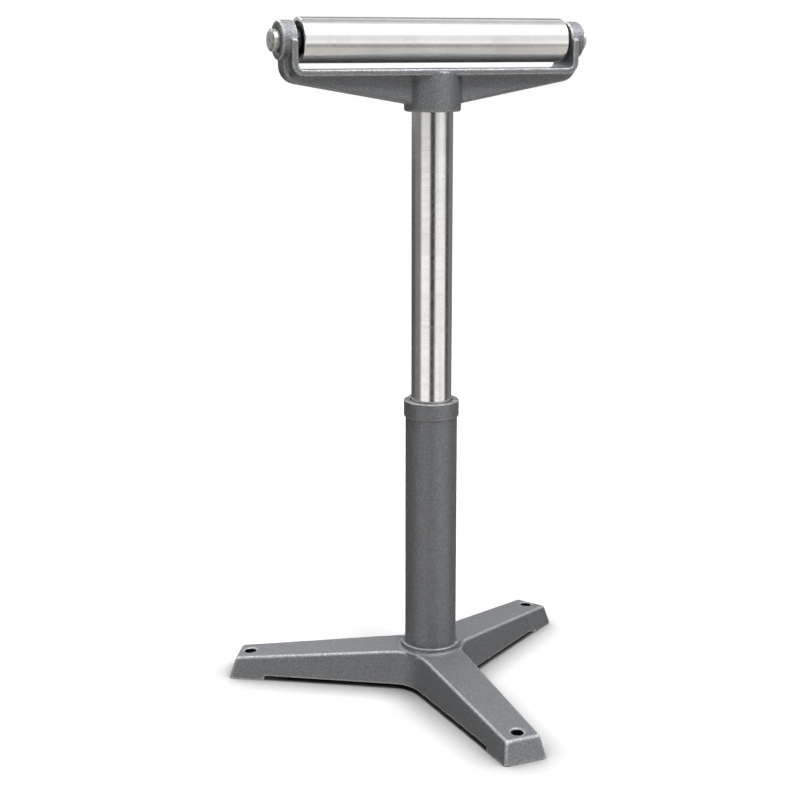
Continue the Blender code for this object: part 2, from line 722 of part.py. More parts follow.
def yoke_hub():
    """The hub that takes the post, from its lower face up into the plate."""
    top = PLATE_TOP - PLATE_THICKNESS / 2
    radius = HUB_RADIUS
    edge = HUB_EDGE
    middle = edge * ROUND_MIDDLE
    profile = [(0.0, top), (radius, top), (radius, HUB_BOTTOM + edge),
               (radius - middle, HUB_BOTTOM + middle), (radius - edge, HUB_BOTTOM), (0.0, HUB_BOTTOM)]
    return link_cutter(turned("yoke_hub", profile, ROUND_LARGE, ring=False))


def screw_places_on_hub():
    """Heights of the hub's two set screws, which enter from +Y."""
    reach = PLATE_TOP - PLATE_THICKNESS - HUB_BOTTOM
    return [HUB_BOTTOM + reach * share for share in HUB_SCREW_SHARES]


def axle_bore():
    """Cutter for the axle through both bosses, wider at their outer faces."""
    bore = AXLE_RADIUS + TOUCH
    wide = bore + BOSS_RECESS_GAP
    step = BOSS_FACE - BOSS_RECESS_DEPTH
    end = 2 * BOSS_FACE
    half = [(0.0, end), (wide, end), (wide, step), (bore, step)]
    profile = half + [(r, -z) for r, z in reversed(half)]
    item = turned("axle_bore", profile, ROUND_MEDIUM, ring=False)
    return link_cutter(along_x(item, height=ROLLER_AXIS_HEIGHT))


def make_yoke():
    """The cast yoke: bent plate, rib, bosses and hub, bored for the post and the axle."""
    yoke = bent_plate()
    join(yoke, rib())
    join(yoke, yoke_hub())
    for side in (-1, 1):
        join(yoke, yoke_boss(side))
    socket = rod_profile(POST_RADIUS + TOUCH, HUB_BOTTOM - HUB_HEIGHT, PLATE_TOP - HUB_FLOOR)
    cut(yoke, link_cutter(turned("post_socket", socket, ROUND_LARGE, ring=False)))
    cut(yoke, axle_bore(), "MANIFOLD")
    holes = [screw_hole(f"hub_screw_hole_{index}", 0.0, height, POST_RADIUS, HUB_RADIUS)
             for index, height in enumerate(screw_places_on_hub())]
    for side in (-1, 1):
        place = side * (UPRIGHT_FACE + HEAD_OVERHANG / 2)
        holes.append(screw_hole(f"axle_screw_hole_{side}", place, ROLLER_AXIS_HEIGHT, AXLE_RADIUS,
                                BOSS_DIAMETER / 2))
    for hole in holes:
        cut(yoke, hole, "MANIFOLD")
    return link_part(yoke, PAINT)


def screw_hole(name, x, height, start, end):
    """Cutter for a set screw's hole that enters from +Y."""
    radius = SET_SCREW_DIAMETER / 2 + TOUCH
    item = turned(name, rod_profile(radius, start - TOUCH, end + SET_SCREW_DIAMETER), ROUND_SMALL, ring=False)
    return link_cutter(along_y(item, height=height, x=x))


def set_screw(name, x, height, start, end):
    """A set screw with a hexagonal recess, its tip a touch off what it presses on."""
    radius = SET_SCREW_DIAMETER / 2
    low = start + TOUCH
    high = end - SET_SCREW_DIAMETER / 4
    item = turned(name, rod_profile(radius, low, high, radius / 5), ROUND_SMALL, ring=False)
    recess = turned(f"{name}_recess", rod_profile(radius / 2, high - radius, high + radius), 6, ring=False)
    cut(item, link_cutter(along_y(recess, height=height, x=x)))
    return along_y(item, height=height, x=x)


def make_set_screws():
    """Two screws in the hub and one in each boss."""
    for word, height in zip(("lower", "upper"), screw_places_on_hub()):
        screw = set_screw(f"hub_screw_{word}", 0.0, height, POST_RADIUS, HUB_RADIUS)
        link_part(screw, DARK_STEEL)
    for side, word in SIDES:
        place = side * (UPRIGHT_FACE + HEAD_OVERHANG / 2)
        screw = set_screw(f"axle_screw_{word}", place, ROLLER_AXIS_HEIGHT, AXLE_RADIUS, BOSS_DIAMETER / 2)
        link_part(screw, DARK_STEEL)


def bearing_span():
    """Distances along X of the bearing's inner and outer faces."""
    outer = HALF_ROLLER - BEARING_INSET
    return outer - BEARING_WIDTH, outer


def make_axle():
    """Fixed axle with large end chamfers, centre holes and a groove for each snap ring."""
    chamfer = AXLE_CHAMFER
    hole = AXLE_CENTRE_HOLE / 2
    depth = 2 * hole
    inner_face, _ = bearing_span()
    high = inner_face - TOUCH
    low = high - SNAP_RING_WIDTH - 2 * TOUCH
    bottom = AXLE_RADIUS - SNAP_RING_PROUD / 2
    half = [(0.0, AXLE_END - depth), (hole, AXLE_END), (AXLE_RADIUS - chamfer, AXLE_END),
            (AXLE_RADIUS, AXLE_END - chamfer * AXLE_CHAMFER_SLOPE), (AXLE_RADIUS, high), (bottom, high),
            (bottom, low), (AXLE_RADIUS, low)]
    profile = half + [(r, -z) for r, z in reversed(half)]
    axle = turned("axle_shaft", profile, ROUND_MEDIUM, ring=False)
    return link_part(along_x(axle, height=ROLLER_AXIS_HEIGHT), POST_STEEL)


def make_axle_snap_rings():
    """Two snap rings on the axle, against the bearings' inner faces."""
    inner_face, _ = bearing_span()
    bore = AXLE_RADIUS - SNAP_RING_PROUD / 2 + TOUCH
    outer = AXLE_RADIUS + SNAP_RING_PROUD
    face = inner_face - 2 * TOUCH
    for side, word in SIDES:
        low, high = sorted((side * face, side * (face - SNAP_RING_WIDTH)))
        ring = turned(f"axle_snap_ring_{word}", tube_profile(outer, bore, low, high), ROUND_FINE)
        link_part(along_x(ring, height=ROLLER_AXIS_HEIGHT), DARK_STEEL)


def make_roller():
    """The roller's tube, with rounded ends."""
    edge = ROLLER_EDGE
    lip = edge * ROUND_MIDDLE
    high = HALF_ROLLER
    outer = [(ROLLER_RADIUS - edge, high), (ROLLER_RADIUS - lip, high - lip), (ROLLER_RADIUS, high - edge)]
    profile = outer + [(r, -z) for r, z in reversed(outer)] + [(ROLLER_BORE, -high), (ROLLER_BORE, high)]
    roller = turned("roller_shell", profile, ROUND_LARGE)
    return link_part(along_x(roller, height=ROLLER_AXIS_HEIGHT), POST_STEEL)


def make_end_cap(side, name):
    """Black cap in one end of the roller, dished, with a hole for the spacer."""
    outer = ROLLER_BORE - TOUCH
    hole = AXLE_RADIUS + TOUCH + SPACER_WALL + RUNNING
    high = HALF_ROLLER - CAP_INSET
    low = high - CAP_THICKNESS
    floor = high - CAP_DISH
    profile = [(outer, high), (outer, low), (hole, low), (hole, high - CAP_DISH / 2),
               (hole + CAP_LAND, floor), (outer - CAP_LAND, floor), (outer - CAP_BEVEL, high)]
    if side < 0:
        profile = [(r, -z) for r, z in reversed(profile)]
    cap = turned(name, profile, ROUND_MEDIUM)
    return link_part(along_x(cap, height=ROLLER_AXIS_HEIGHT), BLACK_PLASTIC)


def make_bearing(side, word):
    """Outer ring, inner ring, cage and balls of one bearing, each in its own node."""
    inner_face, outer_face = bearing_span()
    low, high = sorted((side * inner_face, side * outer_face))
    outer = ROLLER_BORE - TOUCH
    bore = AXLE_RADIUS + TOUCH
    track = (outer + bore) / 2
    race = BALL_DIAMETER / 2 + TOUCH
    middle = (low + high) / 2
    outer_ring = turned(f"bearing_outer_{word}",
                        raceway(outer, outer - BEARING_RING, low, high, track, race), ROUND_FINE)
    link_part(along_x(outer_ring, height=ROLLER_AXIS_HEIGHT), BEARING_STEEL)
    inner_ring = turned(f"bearing_inner_{word}",
                        raceway(bore, bore + BEARING_RING, low, high, track, race)[::-1], ROUND_FINE)
    link_part(along_x(inner_ring, height=ROLLER_AXIS_HEIGHT), BEARING_STEEL)
    make_cage(f"bearing_cage_{word}", middle, track)
    make_balls(f"ball_{word}", middle, track)


def raceway(back, front, low, high, track, race):
    """Profile of a bearing ring, with a round groove in the face that looks at the balls."""
    middle = (low + high) / 2
    offset = abs(front - track)
    reach = math.sqrt(max(race ** 2 - offset ** 2, 0.0))
    half = math.degrees(math.atan2(reach, offset))
    facing = 0 if front > track else 180
    groove = arc_points((track, middle), race, facing - half, facing + half, 3)
    if facing == 180:
        groove = groove[::-1]
    return [(back, high), (back, low), (front, low)] + groove + [(front, high)]


def make_cage(name, middle, track):
    """Ball cage: a plain ring between the bearing's rings, pierced by a pocket for each ball."""
    profile = tube_profile(track + CAGE_WALL / 2, track - CAGE_WALL / 2,
                           middle - CAGE_WIDTH / 2, middle + CAGE_WIDTH / 2)
    cage = turned(name, profile, ROUND_FINE)
    for index in range(BALL_COUNT):
        drill = rod_profile(BALL_DIAMETER / 2 + TOUCH, track / 2, 2 * track)
        pocket = turned(f"{name}_pocket_{index}", drill, ROUND_TINY, ring=False)
        angle = 2 * math.pi * index / BALL_COUNT
        pocket.rotation_euler = (angle, 0.0, 0.0)
        pocket.location = (middle, 0.0, ROLLER_AXIS_HEIGHT)
        cut(cage, link_cutter(pocket))
    return link_part(along_x(cage, height=ROLLER_AXIS_HEIGHT), BRASS)


def make_balls(name, middle, track):
    """The balls of one bearing, each its own object round the same track."""
    for index in range(BALL_COUNT):
        angle = 2 * math.pi * index / BALL_COUNT
        mesh = bmesh.new()
        bmesh.ops.create_uvsphere(mesh, u_segments=8, v_segments=5, radius=BALL_DIAMETER / 2)
        data = bpy.data.meshes.new(f"{name}_{index + 1}")
        mesh.to_mesh(data)
        mesh.free()
        ball = bpy.data.objects.new(data.name, data)
        ball.location = (middle, -track * math.sin(angle), ROLLER_AXIS_HEIGHT + track * math.cos(angle))
        link_part(ball, BEARING_STEEL)


def make_spacer(side, name):
    """Sleeve on the axle from the bearing's inner ring to the yoke's upright."""
    _, outer_face = bearing_span()
    bore = AXLE_RADIUS + TOUCH
    low, high = sorted((side * (outer_face + TOUCH), side * (UPRIGHT_FACE - BOSS_FACING - TOUCH)))
    spacer = turned(name, tube_profile(bore + SPACER_WALL, bore, low, high), ROUND_FINE)
    return link_part(along_x(spacer, height=ROLLER_AXIS_HEIGHT), DARK_STEEL)


def lock_head_start():
    """Distance from the column's axis to the near face of the lever's head."""
    return COLLAR_RADIUS + LOCK_BOSS_LENGTH + LOCK_BACK_OFF


def make_lock_pad():
    """Brass pad between the screw's tip and the post."""
    low = POST_RADIUS + TOUCH
    radius = LOCK_SCREW_DIAMETER / 2
    pad = turned("lock_pad", rod_profile(radius, low, low + LOCK_PAD_THICKNESS), ROUND_SMALL, ring=False)
    return link_part(along_y(pad, height=LOCK_HEIGHT), BRASS)


def make_lock_screw():
    """Clamping screw with its round head, drilled across for the arm."""
    radius = LOCK_SCREW_DIAMETER / 2
    tip = POST_RADIUS + LOCK_PAD_THICKNESS + 2 * TOUCH
    head = LOCK_HEAD_DIAMETER / 2
    start = lock_head_start()
    end = start + LOCK_HEAD_LENGTH
    edge = COLLAR_EDGE
    profile = [(0.0, end), (head - edge, end), (head, end - edge), (head, start), (radius, start),
               (radius, tip), (0.0, tip)]
    screw = turned("lock_screw", profile, ROUND_SMALL, ring=False)
    hole = turned("lock_arm_hole", rod_profile(LOCK_ARM_DIAMETER / 2 + TOUCH, -2 * head, arm_top()),
                  ROUND_SMALL, ring=False)
    hole.location = (0.0, start + LOCK_HEAD_LENGTH / 2, LOCK_HEIGHT)
    cut(screw, link_cutter(hole))
    return link_part(along_y(screw, height=LOCK_HEIGHT), DARK_STEEL)


def arm_top():
    """Depth to which the arm enters the screw's head, measured up from the screw's axis."""
    return LOCK_HEAD_DIAMETER / 4


def make_lock_arm():
    """Round arm that hangs from the screw's head."""
    radius = LOCK_ARM_DIAMETER / 2
    arm = turned("lock_arm", rod_profile(radius, -LOCK_ARM_LENGTH, arm_top() - TOUCH, radius / 5),
                 ROUND_SMALL, ring=False)
    arm.location = (0.0, lock_head_start() + LOCK_HEAD_LENGTH / 2, LOCK_HEIGHT)
    return link_part(arm, DARK_STEEL)


def make_lock_knob():
    """Ball knob on the arm's end, flat on top and bored for the arm."""
    radius = LOCK_KNOB_DIAMETER / 2
    flat = math.degrees(math.acos(LOCK_KNOB_FLAT / radius))
    ball = arc_points((0.0, 0.0), radius, flat, -90, 9)
    ball[-1] = (0.0, -radius)
    bore = LOCK_ARM_DIAMETER / 2 + TOUCH
    floor = -LOCK_KNOB_FLOOR
    profile = [(0.0, floor), (bore, floor), (bore, ball[0][1])] + ball
    knob = turned("lock_knob", profile, ROUND_SMALL, ring=False)
    centre = LOCK_HEIGHT - LOCK_ARM_LENGTH - floor - TOUCH
    knob.location = (0.0, lock_head_start() + LOCK_HEAD_LENGTH / 2, centre)
    return link_part(knob, BLACK_PLASTIC)


def build_stand():
    """Make every sub-part of the stand."""
    make_base()
    make_column()
    make_collar()
    make_guides()
    make_post()
    make_post_snap_rings()
    make_yoke()
    make_set_screws()
    make_axle()
    make_axle_snap_rings()
    make_roller()
    for side, word in SIDES:
        make_end_cap(side, f"end_cap_{word}")
        make_bearing(side, word)
        make_spacer(side, f"spacer_{word}")
    make_lock_pad()
    make_lock_screw()
    make_lock_arm()
    make_lock_knob()


clear_scene()
PARTS = new_collection("roller_stand")
CUTTERS = new_collection("cutters")
COLUMN_AXIS = bpy.data.objects.new("column_axis", None)
COLUMN_AXIS.location = (0.0, COLUMN_Y, 0.0)
PARTS.objects.link(COLUMN_AXIS)
build_stand()
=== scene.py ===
import json
import math

import bmesh
import bpy
import numpy as np
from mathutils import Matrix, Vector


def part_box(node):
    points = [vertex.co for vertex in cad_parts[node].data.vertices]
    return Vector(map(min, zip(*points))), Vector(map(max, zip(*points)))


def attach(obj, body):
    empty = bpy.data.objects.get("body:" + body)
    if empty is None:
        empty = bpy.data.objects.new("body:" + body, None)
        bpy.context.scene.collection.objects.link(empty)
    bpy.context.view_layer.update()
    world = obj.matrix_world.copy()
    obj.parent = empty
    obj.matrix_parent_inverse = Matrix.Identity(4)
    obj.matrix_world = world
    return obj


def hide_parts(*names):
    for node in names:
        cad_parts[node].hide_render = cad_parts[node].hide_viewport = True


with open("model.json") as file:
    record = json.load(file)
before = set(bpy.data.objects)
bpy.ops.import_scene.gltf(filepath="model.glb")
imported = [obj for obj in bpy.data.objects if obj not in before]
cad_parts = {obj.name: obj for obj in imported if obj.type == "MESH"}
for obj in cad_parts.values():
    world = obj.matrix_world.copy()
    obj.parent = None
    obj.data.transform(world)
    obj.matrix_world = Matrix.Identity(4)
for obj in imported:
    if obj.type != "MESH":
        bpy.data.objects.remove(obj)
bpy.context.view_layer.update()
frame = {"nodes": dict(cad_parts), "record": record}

# Metres, +Z up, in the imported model's own frame.


def extent(name):
    """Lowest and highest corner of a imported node, as arrays."""
    low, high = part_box(name)
    return np.array(low), np.array(high)


SLOTS = {part["node"]: part["material_slot"] for part in frame["record"]["subparts"]}

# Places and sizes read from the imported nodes
POST_LOW, POST_HIGH = extent("post_tube")
COLUMN_Y = (POST_LOW[1] + POST_HIGH[1]) / 2
POST_RADIUS = (POST_HIGH[0] - POST_LOW[0]) / 2
ROLLER_LOW, ROLLER_HIGH = extent("roller_shell")
ROLLER_Z = (ROLLER_LOW[2] + ROLLER_HIGH[2]) / 2
ROLLER_HALF = (ROLLER_HIGH[0] - ROLLER_LOW[0]) / 2
ROLLER_RADIUS = (ROLLER_HIGH[2] - ROLLER_LOW[2]) / 2
AXLE_END = extent("axle_shaft")[1][0]
COLLAR_LOW, COLLAR_HIGH = extent("column_collar")
COLLAR_RADIUS = (COLLAR_HIGH[0] - COLLAR_LOW[0]) / 2
LOCK_BOSS_END = COLLAR_HIGH[1] - COLUMN_Y
SCREW_LOW, SCREW_HIGH = extent("lock_screw")
LOCK_Z = (SCREW_LOW[2] + SCREW_HIGH[2]) / 2

# Sizes of the round pieces that their boxes don't give
TOUCH = 0.0003
POST_WALL = 0.004
COLUMN_WALL = 0.003
COLUMN_RADIUS = 0.031
COLLAR_LIP = 0.005
COLLAR_MOUTH = 0.02555
ROLLER_BORE = 0.021
ROLLER_EDGE = 0.0010
AXLE_RADIUS = 0.0125
AXLE_CHAMFER = 0.0028
AXLE_CHAMFER_SLOPE = 0.7
AXLE_CENTRE_HOLE = 0.0015
AXLE_HOLE_DEPTH = 0.004
CAP_FACE = 0.1640
CAP_THICKNESS = 0.0035
CAP_HOLE = 0.0154
CAP_DISH = 0.35             # depth of the dish, as a share of the thickness
CAP_LAND = 0.3              # width of each rim, as a share of the cap's own width
CAP_BEVEL = 0.6             # width of the outer rim's bevel, as a share of the rim
BOLT_INSET = 0.022
BOLT_RADIUS = 0.007
BOLT_TOP = 0.0262           # where the chamfer starts
BOLT_FLOOR = 0.0002         # height of the bore's lower end
BORE_SLEEVE = 0.0004
RING_RADIUS = 0.036
RING_TOP = 0.0525
RING_ROOT = 0.045
RING_FILLET = 0.0028
RING_SKIRT = 1.5            # width of the ring's skirt, in fillets
RING_SINK = 0.004           # by which the ring reaches down into the casting
RING_LIFT = 0.0002          # by which its skirt stands off the casting
SOCKET_RADIUS = 0.0313
BALL_TRACK = 0.01675
BEARING_RING = 0.002
LOCK_BOSS_RADIUS = 0.008
LOCK_SCREW_RADIUS = 0.005
LOCK_HEAD_LENGTH = 0.011
LOCK_KNOB_LEAD = 0.0006     # chamfer at the mouth of the knob's bore
SCREW_SOCKET = 0.0022       # from the middle to a flat of a set screw's socket
SCREW_SOCKET_DEPTH = 0.004
SCREW_SOCKET_FLARE = 1.06   # widening of the socket's mouth
SCREW_SOCKET_LEAD = 0.0002  # depth of that widening
POST_GROOVE = 0.0007        # depth of the snap rings' grooves
AXLE_GROOVE = 0.0006

# Radii of rounded edges
HIDDEN_EDGE = 0.0003
COLUMN_EDGE = 0.0004
BUSH_EDGE = 0.0006
POST_EDGE = 0.0008
COLLAR_EDGE = 0.0014
LOCK_BOSS_EDGE = 0.0012
RING_EDGE = 0.0013
CAP_EDGE = 0.0002
LOCK_HEAD_EDGE = 0.0014
LOCK_ARM_EDGE = 0.0008
LOCK_PAD_EDGE = 0.0004
COLLAR_MOUTH_EDGE = 0.0005
LOCK_MOUTH_EDGE = 0.0004
RING_SKIRT_EDGE = 0.0004
RING_MOUTH_EDGE = 0.0005
ROLLER_BORE_EDGE = 0.0005
SNAP_RING_EDGE = 0.0002
SCREW_CHAMFER = 6           # a set screw's radius divided by its chamfer

# Fineness of the meshes
SEGMENTS = 128
SEGMENTS_SMALL = 48
SEGMENTS_BALL = 24
BALL_POINTS = 17
BALL_COUNT = 8
RACE_POINTS = 13
KNOB_POINTS = 33
ARC_STEPS = 6
MERGE_DISTANCE = 1e-6
GUARD = 0.00012         # distance of the line of points that keeps a flat face's shading flat
FOOT_CELL = 0.00144
YOKE_CELL = 0.00099
SMOOTHING_PASSES = 2

# Band that a noise factor mostly fills
NOISE_LOW = 0.3
NOISE_HIGH = 0.7

# Hammered enamel. Its convex edges get a painted highlight, from one pointiness to the other.
PAINT_COLOUR = (0.20, 0.206, 0.215)
PAINT_DARK = (0.165, 0.170, 0.178)
PAINT_LIGHT = (0.235, 0.242, 0.252)
PAINT_METALLIC = 0.56
PAINT_COAT = 0.15
PAINT_COAT_ROUGHNESS = 0.30
MOTTLE_SCALE = 420.0
FLAKE_SCALE = 600.0
FLAKE_COLOUR = (0.44, 0.45, 0.46)
FLAKE_SHARE = 0.42
DIMPLE_SCALE = 620.0
DIMPLE_STRENGTH = 0.85
DIMPLE_HEIGHT = 0.0008
EDGE_HIGHLIGHT_COLOUR = (0.58, 0.59, 0.60)
EDGE_START = 0.509
EDGE_FULL = 0.532
FLECK_START = 0.58          # noise from which a flake shows, and at which it is full
FLECK_FULL = 0.70
EDGE_HIGHLIGHT_LEAST = 0.25           # painted highlight of an edge between its bright spots
EDGE_HIGHLIGHT_START = 0.35
EDGE_HIGHLIGHT_FULL = 0.6
PAINT_SMOOTH = 0.34
PAINT_ROUGH = 0.50

# Ground steel
STEEL_COLOUR = (0.88, 0.87, 0.855)
STEEL_DARK = (0.82, 0.81, 0.79)
STEEL_LIGHT = (0.92, 0.915, 0.90)
GRIND_SCALE = 900.0
WEAR_SCALE = 22.0
STEEL_SMOOTH = 0.17
STEEL_ROUGH = 0.27
GRIND_STRENGTH = 0.03
GRIND_HEIGHT = 0.0001

# Grain of the turned steel and of the moulded plastic
GRAIN_SMOOTH = 0.8          # least and greatest roughness, as shares of the stated one
GRAIN_ROUGH = 1.25
GRAIN_STRENGTH = 0.12
GRAIN_HEIGHT = 0.0002
PLASTIC_SCALE = 1400.0
PLASTIC_STRENGTH = 0.15
PLASTIC_HEIGHT = 0.0001


def mesh_piece(name, points, faces, material, body):
    """A smooth-shaded object at the origin, made from arrays of points and faces."""
    mesh = bpy.data.meshes.new(name)
    mesh.from_pydata(points, [], faces)
    mesh.polygons.foreach_set("use_smooth", np.ones(len(mesh.polygons), bool))
    mesh.update()
    piece = bpy.data.objects.new(name, mesh)
    bpy.context.scene.collection.objects.link(piece)
    mesh.materials.append(material)
    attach(piece, body)
    return piece


def rounded(corners, radii, closed):
    """Profile with every corner rounded.

    At a corner the arc's centre lies on the bisector, radius / sin(half the corner's angle)
    away. The arc turns from one tangent point to the other, with one guard point on the
    straight side at each end. An open profile keeps its two end points as they are.
    """
    corners = np.array(corners, float)
    radii = np.broadcast_to(np.array(radii, float), len(corners)).copy()
    before = np.roll(corners, 1, axis=0)
    after = np.roll(corners, -1, axis=0)
    middle = slice(None) if closed else slice(1, -1)
    here, radius = corners[middle], radii[middle, None]
    back = before[middle] - here
    on = after[middle] - here
    back /= np.linalg.norm(back, axis=1, keepdims=True)
    on /= np.linalg.norm(on, axis=1, keepdims=True)
    half = np.arccos(np.clip((back * on).sum(1, keepdims=True), -1, 1)) / 2
    reach = radius / np.tan(half)
    bisector = back + on
    bisector /= np.linalg.norm(bisector, axis=1, keepdims=True)
    centre = here + bisector * radius / np.sin(half)
    first = (here + back * reach - centre) / radius
    last = (here + on * reach - centre) / radius
    turn = np.pi - 2 * half
    share = np.linspace(0, 1, ARC_STEPS + 1)[None, :]
    start = np.sin((1 - share) * turn) / np.sin(turn)
    end = np.sin(share * turn) / np.sin(turn)
    way = start[..., None] * first[:, None] + end[..., None] * last[:, None]
    arc = centre[:, None] + radius[:, None] * way
    guards = [here + back * (reach + GUARD), here + on * (reach + GUARD)]
    rows = np.concatenate([guards[0][:, None], arc, guards[1][:, None]], axis=1).reshape(-1, 2)
    return rows if closed else np.vstack([corners[:1], rows, corners[-1:]])


def turned(name, profile, closed, material, body, axis="Z", place=(0.0, 0.0, 0.0),
           segments=SEGMENTS):
    """Surface of revolution: the profile's point (r, h) at angle t is (r cos t, r sin t, h).

    A closed profile makes a ring. An open one starts and ends on the axis, where it is
    closed by a fan. The three coordinates are then passed round for an axis along X or Y.
    """
    following = np.roll(profile, -1, axis=0)
    area = np.dot(profile[:, 0], following[:, 1]) - np.dot(profile[:, 1], following[:, 0])
    if area < 0:
        profile = profile[::-1]
    angle = np.arange(segments) * 2 * np.pi / segments
    rows = profile if closed else profile[1:-1]
    radius, height = rows[:, :1], rows[:, 1:]
    points = np.stack([radius * np.cos(angle), radius * np.sin(angle), height + 0 * angle],
                      axis=-1).reshape(-1, 3)
    count = len(rows)
    row = np.arange(count if closed else count - 1)[:, None]
    low, high = row * segments, (row + 1) % count * segments
    this = np.arange(segments)[None, :]
    following = (this + 1) % segments
    faces = np.stack([low + this, low + following, high + following, high + this],
                     axis=-1).reshape(-1, 4).tolist()
    if not closed:
        ends = np.array([[0.0, 0.0, profile[0, 1]], [0.0, 0.0, profile[-1, 1]]])
        bottom, top = len(points), len(points) + 1
        points = np.vstack([points, ends])
        this, following = this[0], following[0]
        last = (count - 1) * segments
        faces += np.stack([following, this, np.full(segments, bottom)], axis=-1).tolist()
        faces += np.stack([last + this, last + following, np.full(segments, top)], axis=-1).tolist()
    order = {"Z": (0, 1, 2), "X": (2, 0, 1), "Y": (1, 2, 0)}[axis]
    points = points[:, order] + np.array(place)
    return mesh_piece(name, points.tolist(), faces, material, body)


def tube(outer, inner, low, high):
    """Corners of a tube's section."""
    return [(outer, low), (outer, high), (inner, high), (inner, low)]


def rod(radius, low, high):
    """Corners of a rod's half section, from the axis round to the axis."""
    return [(0.0, low), (radius, low), (radius, high), (0.0, high)]


def smoothed(points, edges, passes):
    """Each pass moves every point halfway to the mean of its neighbours."""
    neighbours = np.bincount(edges.ravel(), minlength=len(points))[:, None]
    for _ in range(passes):
        total = np.stack([
            np.bincount(edges[:, 0], points[edges[:, 1], k], len(points))
            + np.bincount(edges[:, 1], points[edges[:, 0], k], len(points))
            for k in range(3)], axis=1)
        points = points + (total / neighbours - points) / 2
    return points


def cast_copy(name, cell, material, body):
    """Copy of a casting with the soft edges and fillets of a sand mould.

    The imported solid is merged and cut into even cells, and its points are then smoothed.
    """
    mesh = frame["nodes"][name].data.copy()
    work = bmesh.new()
    work.from_mesh(mesh)
    bmesh.ops.remove_doubles(work, verts=work.verts, dist=MERGE_DISTANCE)
    work.to_mesh(mesh)
    work.free()
    solid = bpy.data.objects.new("solid_copy", mesh)
    bpy.context.scene.collection.objects.link(solid)
    remesh = solid.modifiers.new("cells", "REMESH")
    remesh.mode = "VOXEL"
    remesh.voxel_size = cell
    remeshed = solid.evaluated_get(bpy.context.evaluated_depsgraph_get())
    cells = bpy.data.meshes.new_from_object(remeshed)
    bpy.data.objects.remove(solid, do_unlink=True)
    points = np.zeros(len(cells.vertices) * 3)
    cells.vertices.foreach_get("co", points)
    edges = np.zeros(len(cells.edges) * 2, int)
    cells.edges.foreach_get("vertices", edges)
    points = smoothed(points.reshape(-1, 3), edges.reshape(-1, 2), SMOOTHING_PASSES)
    cells.vertices.foreach_set("co", points.ravel())
    cells.polygons.foreach_set("use_smooth", np.ones(len(cells.polygons), bool))
    cells.materials.clear()
    cells.materials.append(material)
    piece = bpy.data.objects.new(name + "_cast", cells)
    bpy.context.scene.collection.objects.link(piece)
    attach(piece, body)
    stands_for(name)
    return piece


def stands_for(name):
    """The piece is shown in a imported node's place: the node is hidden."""
    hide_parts(name)


def ring_for(name, inner, fillet, material, body, axis="Z", middle=(0.0, 0.0)):
    """Round-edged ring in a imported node's place, with the outer size and ends of its box.

    The middle gives the other two coordinates of the ring's axis, in the order x, y, z.
    """
    low, high = extent(name)
    along = "XYZ".index(axis)
    across = 2 if along != 2 else 0
    outer = (high[across] - low[across]) / 2
    profile = rounded(tube(outer, inner, low[along], high[along]), fillet, True)
    place = np.insert(np.array(middle), along, 0.0)
    piece = turned(name + "_turned", profile, True, material, body, axis, place)
    stands_for(name)
    return piece


def finish_material(name, colour, roughness, metallic):
    """New material; returns it with its node tree, its shader and the object coordinates."""
    material = bpy.data.materials.new(name)
    material.use_nodes = True
    tree = material.node_tree
    shader = tree.nodes["Principled BSDF"]
    shader.inputs["Base Color"].default_value = (*colour, 1.0)
    shader.inputs["Roughness"].default_value = roughness
    shader.inputs["Metallic"].default_value = metallic
    where = tree.nodes.new("ShaderNodeTexCoord")
    return material, tree, shader, where.outputs["Object"]


def noise(tree, where, scale, detail=2.0, stretch=(1.0, 1.0, 1.0)):
    """Noise on the object's coordinates, stretched by a Mapping node."""
    mapping = tree.nodes.new("ShaderNodeMapping")
    mapping.inputs["Scale"].default_value = stretch
    tree.links.new(where, mapping.inputs["Vector"])
    made = tree.nodes.new("ShaderNodeTexNoise")
    made.inputs["Scale"].default_value = scale
    made.inputs["Detail"].default_value = detail
    tree.links.new(mapping.outputs["Vector"], made.inputs["Vector"])
    return made.outputs["Fac"]


def spread(tree, factor, low, high, start=NOISE_LOW, stop=NOISE_HIGH):
    """Carries a factor from start..stop to low..high."""
    made = tree.nodes.new("ShaderNodeMapRange")
    for name, value in (("From Min", start), ("From Max", stop),
                        ("To Min", low), ("To Max", high)):
        made.inputs[name].default_value = value
    tree.links.new(factor, made.inputs["Value"])
    return made.outputs["Result"]


def two_tone(tree, shader, factor, dark, light):
    """Base colour between two tones."""
    ramp = tree.nodes.new("ShaderNodeValToRGB")
    for stop, position, colour in zip(ramp.color_ramp.elements, (NOISE_LOW, NOISE_HIGH),
                                      (dark, light)):
        stop.position = position
        stop.color = (*colour, 1.0)
    tree.links.new(factor, ramp.inputs["Fac"])
    tree.links.new(ramp.outputs["Color"], shader.inputs["Base Color"])


def bump(tree, shader, height, strength, distance):
    """Fine relief on the surface."""
    made = tree.nodes.new("ShaderNodeBump")
    made.inputs["Strength"].default_value = strength
    made.inputs["Distance"].default_value = distance
    tree.links.new(height, made.inputs["Height"])
    tree.links.new(made.outputs["Normal"], shader.inputs["Normal"])


def blend(tree, factor, first, second):
    """Colour between two, each a colour or another node's output."""
    mix = tree.nodes.new("ShaderNodeMix")
    mix.data_type = "RGBA"
    tree.links.new(factor, mix.inputs["Factor"])
    for socket, value in ((mix.inputs[6], first), (mix.inputs[7], second)):
        if isinstance(value, tuple):
            socket.default_value = (*value, 1.0)
        else:
            tree.links.new(value, socket)
    return mix.outputs[2]


def product(tree, first, second):
    """Two factors multiplied."""
    made = tree.nodes.new("ShaderNodeMath")
    made.operation = "MULTIPLY"
    tree.links.new(first, made.inputs[0])
    tree.links.new(second, made.inputs[1])
    return made.outputs["Value"]


